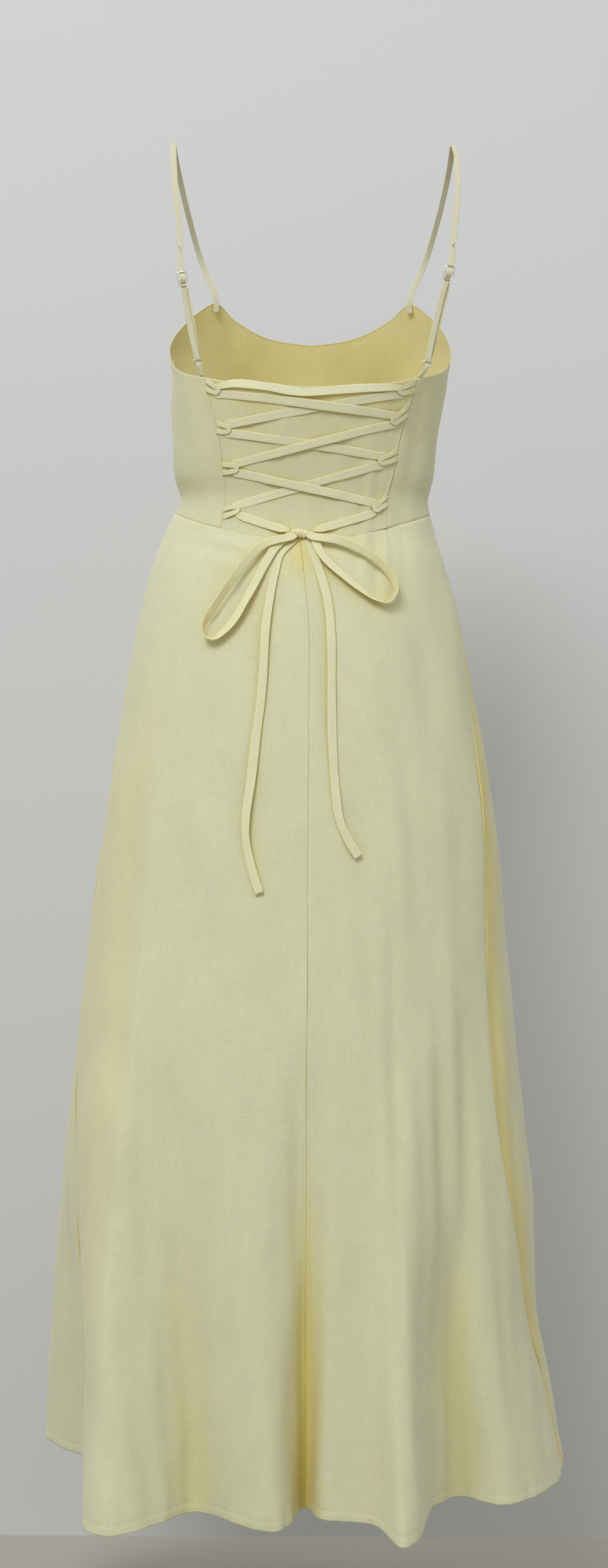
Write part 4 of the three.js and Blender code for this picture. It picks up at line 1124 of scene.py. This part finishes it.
for name, loop in LOOPS.items():
    way = on_side(name)
    seam_at = princess("left" if way > 0 else "right")(loop["z"])
    seam_x = body_point(seam_at, loop["z"])[0] - way * 0.0002
    tip_x, tip_z = loop["tip"]
    turn_x = tip_x + way * LOOP["tip"]
    mid = ((seam_x + turn_x) / 2, (loop["z"] + tip_z) / 2, (LOOP["foot"] + LOOP["tip"]) / 2)
    low, lift = 0.0004, LOOP["lift"]  # how far the band's middle is off the cloth, at its ends and between
    foot = LOOP["foot"] - 0.0006
    route = [(seam_x, loop["z"] + foot, low), (mid[0], mid[1] + mid[2], lift)]
    route += [
        (turn_x - way * LOOP["tip"] * np.sin(a), tip_z + LOOP["tip"] * np.cos(a), lift)
        for a in np.linspace(0, np.pi, 9)
    ]
    route += [(mid[0], mid[1] - mid[2], lift), (seam_x, loop["z"] - foot, low)]
    line, out = over_back(*smooth_line(route, 70).T)
    size = (LOOP["wide"], LOOP["thick"])
    piece = ribbon("lace_loop_%s_band" % name, line, out, *size, tie_linen, pinch=0.15)
    in_place_of(piece, "lace_loop_" + name)

# ---------- lacing tie ----------
# One long flat tie of folded linen. It bars the top edge, runs down through the loops in crossed
# pairs, and its two ends meet in a knot at the waist. It is pinched where it passes a loop.
TIE = {"wide": 0.0087, "pinched": 0.0048, "thick": 0.0014, "pressed": 0.0009}
PAIRS = {
    "pair_1": {"over": ("left_1", "right_2"), "under": ("right_1", "left_2")},
    "pair_2": {"over": ("right_2", "left_3"), "under": ("left_2", "right_3")},
    "pair_3": {"over": ("left_3", "right_4"), "under": ("right_3", "left_4")},
}
# Where the tie enters a loop, from the loop's tip, and how far beyond that it turns inside it.
ENTRY = {"in": 0.0024, "aside": 0.0039, "turn": 0.0026}
OFF_CLOTH = GAP + TIE["thick"] / 2
# The upper of two crossed stretches is lifted over the lower one, level for this far each side of the
# crossing and then sloping down.
CROSSING = {"level": 0.030, "slope": 0.016, "lift": TIE["thick"] + GAP + 0.0001}
PINCH_REACH = 0.085  # share of a stretch over which it is drawn in at an end
TOP_BAR = [
    (0.096, -0.2555, 0.0012),
    (0.080, -0.2525, 0.0012),
    (0.047, -0.256, 0.0014),
    (0.0095, -0.2615, 0.0016),
    (-0.019, -0.2595, 0.0014),
    (-0.052, -0.2565, 0.0012),
    (-0.088, -0.2545, 0.0012),
]
TO_KNOT = {
    "left": [
        (0.076, -0.382, 0.0013),
        (0.062, -0.387, 0.0014),
        (0.042, -0.394, 0.0019),
        (0.0226, -0.4005, 0.0046),
    ],
    "right": [
        (-0.063, -0.3795, 0.0013),
        (-0.046, -0.385, 0.0014),
        (-0.022, -0.393, 0.0019),
        (-0.0006, -0.400, 0.0046),
    ],
}


def pinch_at(count, both_ends=True):
    """How drawn in the tie is along a stretch: 1 at an end that passes a loop or the knot."""
    share = np.linspace(0, 1, count)
    away = np.minimum(share, (1 - share) if both_ends else 1.0)
    return np.exp(-((away / PINCH_REACH) ** 2))


def tie_piece(name, line, facing, pinch):
    wide = TIE["wide"] + (TIE["pinched"] - TIE["wide"]) * pinch
    # Cut and pressed by hand, so never quite even.
    rng = np.random.default_rng(len(name) * 7 + sum(map(ord, name)))
    share = np.linspace(0, 1, len(line))
    for _ in range(5):
        wide = wide * (1 + 0.022 * np.sin(share * rng.uniform(4, 46) + rng.uniform(0, 6.28)))
    piece = ribbon(name + "_tie", line, facing, wide, TIE["pressed"], tie_linen, pinch=pinch)
    return in_place_of(piece, name)


def pair_ends(stretch):
    """The places where a stretch turns inside its first loop, leaves it, enters its second and turns."""
    ends = []
    for k, loop_name in enumerate(stretch):
        x, z = LOOPS[loop_name]["tip"]
        way = on_side(loop_name)
        ends.append((x + way * ENTRY["in"], z + (1 if k else -1) * ENTRY["aside"]))
        ends.append((x + way * (ENTRY["in"] + ENTRY["turn"]), z))
    return [ends[1], ends[0], ends[2], ends[3]]


for name, pair in PAIRS.items():
    slopes = {}
    for level in ("over", "under"):
        _, p, q, _ = pair_ends(pair[level])
        slope = (q[1] - p[1]) / (q[0] - p[0])
        slopes[level] = (slope, p[1] - slope * p[0])
    cross_x = (slopes["under"][1] - slopes["over"][1]) / (slopes["over"][0] - slopes["under"][0])
    for level in ("over", "under"):
        before, p, q, after = (np.array(end) for end in pair_ends(pair[level]))
        straight = [p + (q - p) * share for share in (0, 0.04, 0.25, 0.5, 0.75, 0.96, 1)]
        flat = smooth_line([before, *straight, after], 130)
        sloping = np.clip(np.abs(flat[:, 0] - cross_x) - CROSSING["level"], 0, None) / CROSSING["slope"]
        lifted = np.cos(np.clip(sloping, 0, 1) * np.pi / 2) ** 2 * (level == "over")
        height = OFF_CLOTH + CROSSING["lift"] * lifted
        line, out = over_back(flat[:, 0], flat[:, 1], height)
        tie_piece("lace_%s_%s" % (name, level), line, out, pinch_at(len(line)))

line, out = over_back(*smooth_line(TOP_BAR, 120).T)
tie_piece("lace_top_bar", line, unit(out + (0, 0, 0.35)), pinch_at(len(line)) * 0.6)
for name, route in TO_KNOT.items():
    line, out = over_back(*smooth_line(route, 60).T)
    tie_piece("lace_to_knot_" + name, line, out, pinch_at(len(line)))

# ---------- knot, bow loops and tails ----------
# The tie's ends are tied in a bow: a small knot, two slack loops and two tails that hang down the skirt.
# Each is the same flat band. A place has its X and Z on the back and how far it is off the cloth.
ROUTES = {
    "bow_loop_left": [
        (0.0195, -0.4076, 0.0066),
        (0.046, -0.4165, 0.0094),
        (0.062, -0.432, 0.0096),
        (0.076, -0.451, 0.0096),
        (0.0945, -0.480, 0.0090),
        (0.104, -0.497, 0.0082),
        (0.1025, -0.507, 0.0074),
        (0.095, -0.509, 0.0066),
        (0.087, -0.503, 0.0058),
        (0.0765, -0.491, 0.0052),
        (0.0595, -0.4605, 0.0046),
        (0.045, -0.432, 0.0044),
        (0.0355, -0.417, 0.0044),
        (0.0225, -0.4055, 0.0039),
    ],
    "bow_loop_right": [
        (0.0016, -0.407, 0.0066),
        (-0.0245, -0.4125, 0.0094),
        (-0.051, -0.424, 0.0096),
        (-0.0685, -0.4365, 0.0096),
        (-0.079, -0.453, 0.0090),
        (-0.080, -0.465, 0.0082),
        (-0.072, -0.472, 0.0074),
        (-0.061, -0.469, 0.0066),
        (-0.047, -0.459, 0.0058),
        (-0.0315, -0.446, 0.0052),
        (-0.013, -0.429, 0.0046),
        (-0.006, -0.418, 0.0044),
        (-0.0006, -0.405, 0.0039),
    ],
    "tail_left": [
        (0.019, -0.4095, 0.0014),
        (0.0315, -0.423, 0.0015),
        (0.037, -0.443, 0.0016),
        (0.042, -0.4715, 0.0020),
        (0.0455, -0.500, 0.0026),
        (0.0465, -0.528, 0.0030),
        (0.049, -0.5675, 0.0030),
        (0.0535, -0.6035, 0.0030),
        (0.0585, -0.651, 0.0030),
        (0.063, -0.6855, 0.0030),
        (0.063, -0.7045, 0.0030),
        (0.0575, -0.7325, 0.0030),
        (0.049, -0.7595, 0.0030),
    ],
    "tail_right": [
        (0.0045, -0.4095, 0.0014),
        (-0.002, -0.424, 0.0015),
        (-0.0085, -0.443, 0.0016),
        (-0.016, -0.4715, 0.0020),
        (-0.0195, -0.508, 0.0026),
        (-0.020, -0.551, 0.0030),
        (-0.021, -0.607, 0.0030),
        (-0.024, -0.654, 0.0030),
        (-0.029, -0.6885, 0.0030),
        (-0.0385, -0.709, 0.0030),
        (-0.047, -0.723, 0.0030),
    ],
}
KNOT_X = 0.011
# far: where along a loop its far end is. out, back: how far its outward and its returning half lean in.
# edge: how much further it leans at its far end, over edge_wide. The lean fades near the knot and the axis.
BOW = {"far": 0.47, "out": 0.38, "back": 0.24, "edge": 0.48, "edge_wide": 0.15, "fade": 0.16, "near": 0.009}
BOW_AXIS = (0.012, 0.088)  # the stretch of a loop's axis that its cloth leans towards
TAIL_SWAY = {"turn": 0.22, "waves": 9.0}


def into_knot(place, rise):
    """A place inside the knot, behind the one where a route leaves it."""
    x, z, height = place
    return (0.72 * x + 0.28 * KNOT_X, z + rise, height)


for name, route in ROUTES.items():
    is_bow = name.startswith("bow")
    inner_ends = [into_knot(route[-1], 0.0016)] if is_bow else []
    line, out = over_back(*smooth_line([into_knot(route[0], 0.0022), *route, *inner_ends], 170).T)
    share = np.linspace(0, 1, len(line))
    if is_bow:
        # The loop's cloth lies nearly flat beside the knot and stands on edge round its far end.
        axis = unit(line[round(len(line) * BOW["far"])] - line[0])
        middle = line[0] + axis * np.clip((line - line[0]) @ axis, *BOW_AXIS)[:, None]
        apart = np.linalg.norm(middle - line, axis=1)
        lean = np.where(share < BOW["far"], BOW["out"], BOW["back"])
        lean = lean + BOW["edge"] * np.exp(-(((share - BOW["far"]) / BOW["edge_wide"]) ** 2))
        lean = lean * np.clip(np.minimum(share, 1 - share) / BOW["fade"], 0, 1)
        lean = (lean * np.clip(apart / BOW["near"], 0, 1))[:, None]
        facing = unit(out * (1 - lean) + unit(middle - line) * lean)
    else:
        sway = TAIL_SWAY["turn"] * np.sin(share * TAIL_SWAY["waves"])[:, None]
        facing = unit(out + sway * np.cross(out, (0, 0, 1)))
    piece = tie_piece(name, line, facing, pinch_at(len(line), is_bow) * 0.45)
    length = lengths(line[:, None], 0)[-1, 0]

# The wrap is drawn tight, so it lies in soft pleats from its upper rim to its lower one, which flares
# where the loops and the tails leave it. pleats: how many across its width.
KNOT = {"z": -0.4035, "lift": 0.0049, "wide": 0.0205, "high": 0.0094, "deep": 0.0072, "pleats": 4}
knot_middle = over_back(KNOT_X, KNOT["z"], KNOT["lift"])[0]
around = np.linspace(0, 2 * np.pi, 96, endpoint=False)
round_x, round_z = np.meshgrid(around, np.linspace(0.03, np.pi - 0.03, 70))
length_way = np.cos(round_z)  # poles on the knot's left and right ends
girth = np.sin(round_z) ** 0.62
below = np.clip(-np.cos(round_x), 0, 1)
leaning = length_way + 0.10 * np.cos(round_x)  # the pleats slant, and are unevenly wide
pleat = np.cos(KNOT["pleats"] * 2 * np.pi * (leaning + 0.12 * np.sin(5 * leaning)) / 1.7)
furrow = np.clip(-pleat, 0, 1) * np.clip(1.15 - np.abs(length_way), 0, 1)
girth = girth * (1 + 0.075 * pleat * (0.5 + below)) * (0.90 + 0.10 * np.exp(-((length_way / 0.5) ** 2)))
flare = 1 + 0.16 * below * np.cos(length_way * 1.6)
knot_grid = np.stack(
    [
        length_way * KNOT["wide"] / 2 * (1 + 0.10 * below),
        girth * np.sin(round_x) * KNOT["deep"] / 2.1,
        girth * np.cos(round_x) * KNOT["high"] / 2.25 * flare + 0.0009 * np.sin(length_way * 2.2),
    ],
    -1,
)
knot_grid = knot_grid + np.asarray(knot_middle)
knot_uv = np.stack([round_x * 0.0008, length_way * KNOT["wide"] / 2], -1)
# Painted shade in the pleats' furrows and over the knot's lower side.
knot_painted_shade = furrow * 0.7 + below * 0.25
knot = mesh_from_grid("lace_knot_wrap", knot_grid, knot_uv, knot_painted_shade, tie_linen, close=True)
in_place_of(knot, "lace_knot")

# ---------- stage ----------
# A pale floor and a plain wall, one large soft light from behind and above on the wearer's left, two weak
# ones to lighten the shade, and a camera behind the dress.
FLOOR_Z = -1.52
WALL_Y = -0.47
FLOOR = {"size": (14, 14), "paint": (0.35, 0.335, 0.30, 1)}
WALL = {"size": (9, 5), "paint": (0.61, 0.63, 0.66, 1)}
SKY = {"colour": (1.0, 0.98, 0.94, 1), "strength": 0.62}
AIM = (0, 0, -0.7)  # what the lights point at
CAMERA = {"place": (0.0064, 3.6, -0.6515), "lens": 81, "sensor": 36, "roll": 0.39}  # roll in degrees


def stage_plane(name, sheet, place, turned):
    bpy.ops.object.select_all(action="DESELECT")
    bpy.ops.mesh.primitive_plane_add(size=1)
    plane = bpy.context.active_object
    plane.name = name
    plane.data.transform(Matrix.Translation(place) @ turned @ Matrix.Diagonal((*sheet["size"], 1, 1)))
    material = bpy.data.materials.new(name)
    material.use_nodes = True
    tree = material.node_tree
    paint = tree.nodes["Principled BSDF"]
    paint.inputs["Base Color"].default_value = sheet["paint"]
    paint.inputs["Roughness"].default_value = 0.9
    # From behind it isn't there, so it hides nothing from the other side.
    clear = add_node(tree, "BsdfTransparent")
    behind = add_node(tree, "NewGeometry").outputs["Backfacing"]
    both = add_node(tree, "MixShader", {0: behind, 1: paint.outputs[0], 2: clear.outputs[0]})
    tree.links.new(both.outputs[0], tree.nodes["Material Output"].inputs["Surface"])
    plane.data.materials.append(material)
    return plane


stage_plane("floor", FLOOR, (0, 0, FLOOR_Z), Matrix.Identity(4))
wall_place = (0, WALL_Y, FLOOR_Z + WALL["size"][1] / 2)
wall = stage_plane("wall", WALL, wall_place, Matrix.Rotation(-np.pi / 2, 4, "X"))
wall.visible_diffuse = False
wall.visible_glossy = False
wall.visible_shadow = False

world = bpy.data.worlds.new("studio")
bpy.context.scene.world = world
world.use_nodes = True
world.node_tree.nodes["Background"].inputs["Color"].default_value = SKY["colour"]
world.node_tree.nodes["Background"].inputs["Strength"].default_value = SKY["strength"]


def soft_light(name, place, size, power, colour=(1, 1, 1)):
    lamp = bpy.data.lights.new(name, "AREA")
    lamp.size = size
    lamp.energy = power
    lamp.color = colour
    stand = bpy.data.objects.new(name, lamp)
    bpy.context.scene.collection.objects.link(stand)
    stand.location = place
    stand.rotation_euler = (Vector(AIM) - Vector(place)).to_track_quat("-Z", "Y").to_euler()


soft_light("window", (1.3, 3.2, 2.5), 1.8, 121, (1.0, 0.985, 0.95))
soft_light("fill", (-2.6, 2.2, 0.2), 2.2, 8)
soft_light("front_fill", (0.8, -3.2, 1.0), 2.4, 30)

bpy.context.scene.view_settings.view_transform = "Standard"
camera_data = bpy.data.cameras.new("camera")
camera_data.sensor_width = CAMERA["sensor"]
camera_data.lens = CAMERA["lens"]
camera = bpy.data.objects.new("camera", camera_data)
bpy.context.scene.collection.objects.link(camera)
roll = np.radians(CAMERA["roll"])
right = Vector((-np.cos(roll), 0, np.sin(roll)))
up = Vector((np.sin(roll), 0, np.cos(roll)))
looking = Matrix((right, up, (0, 1, 0))).transposed().to_4x4()
camera.matrix_world = Matrix.Translation(CAMERA["place"]) @ looking
bpy.context.scene.camera = camera
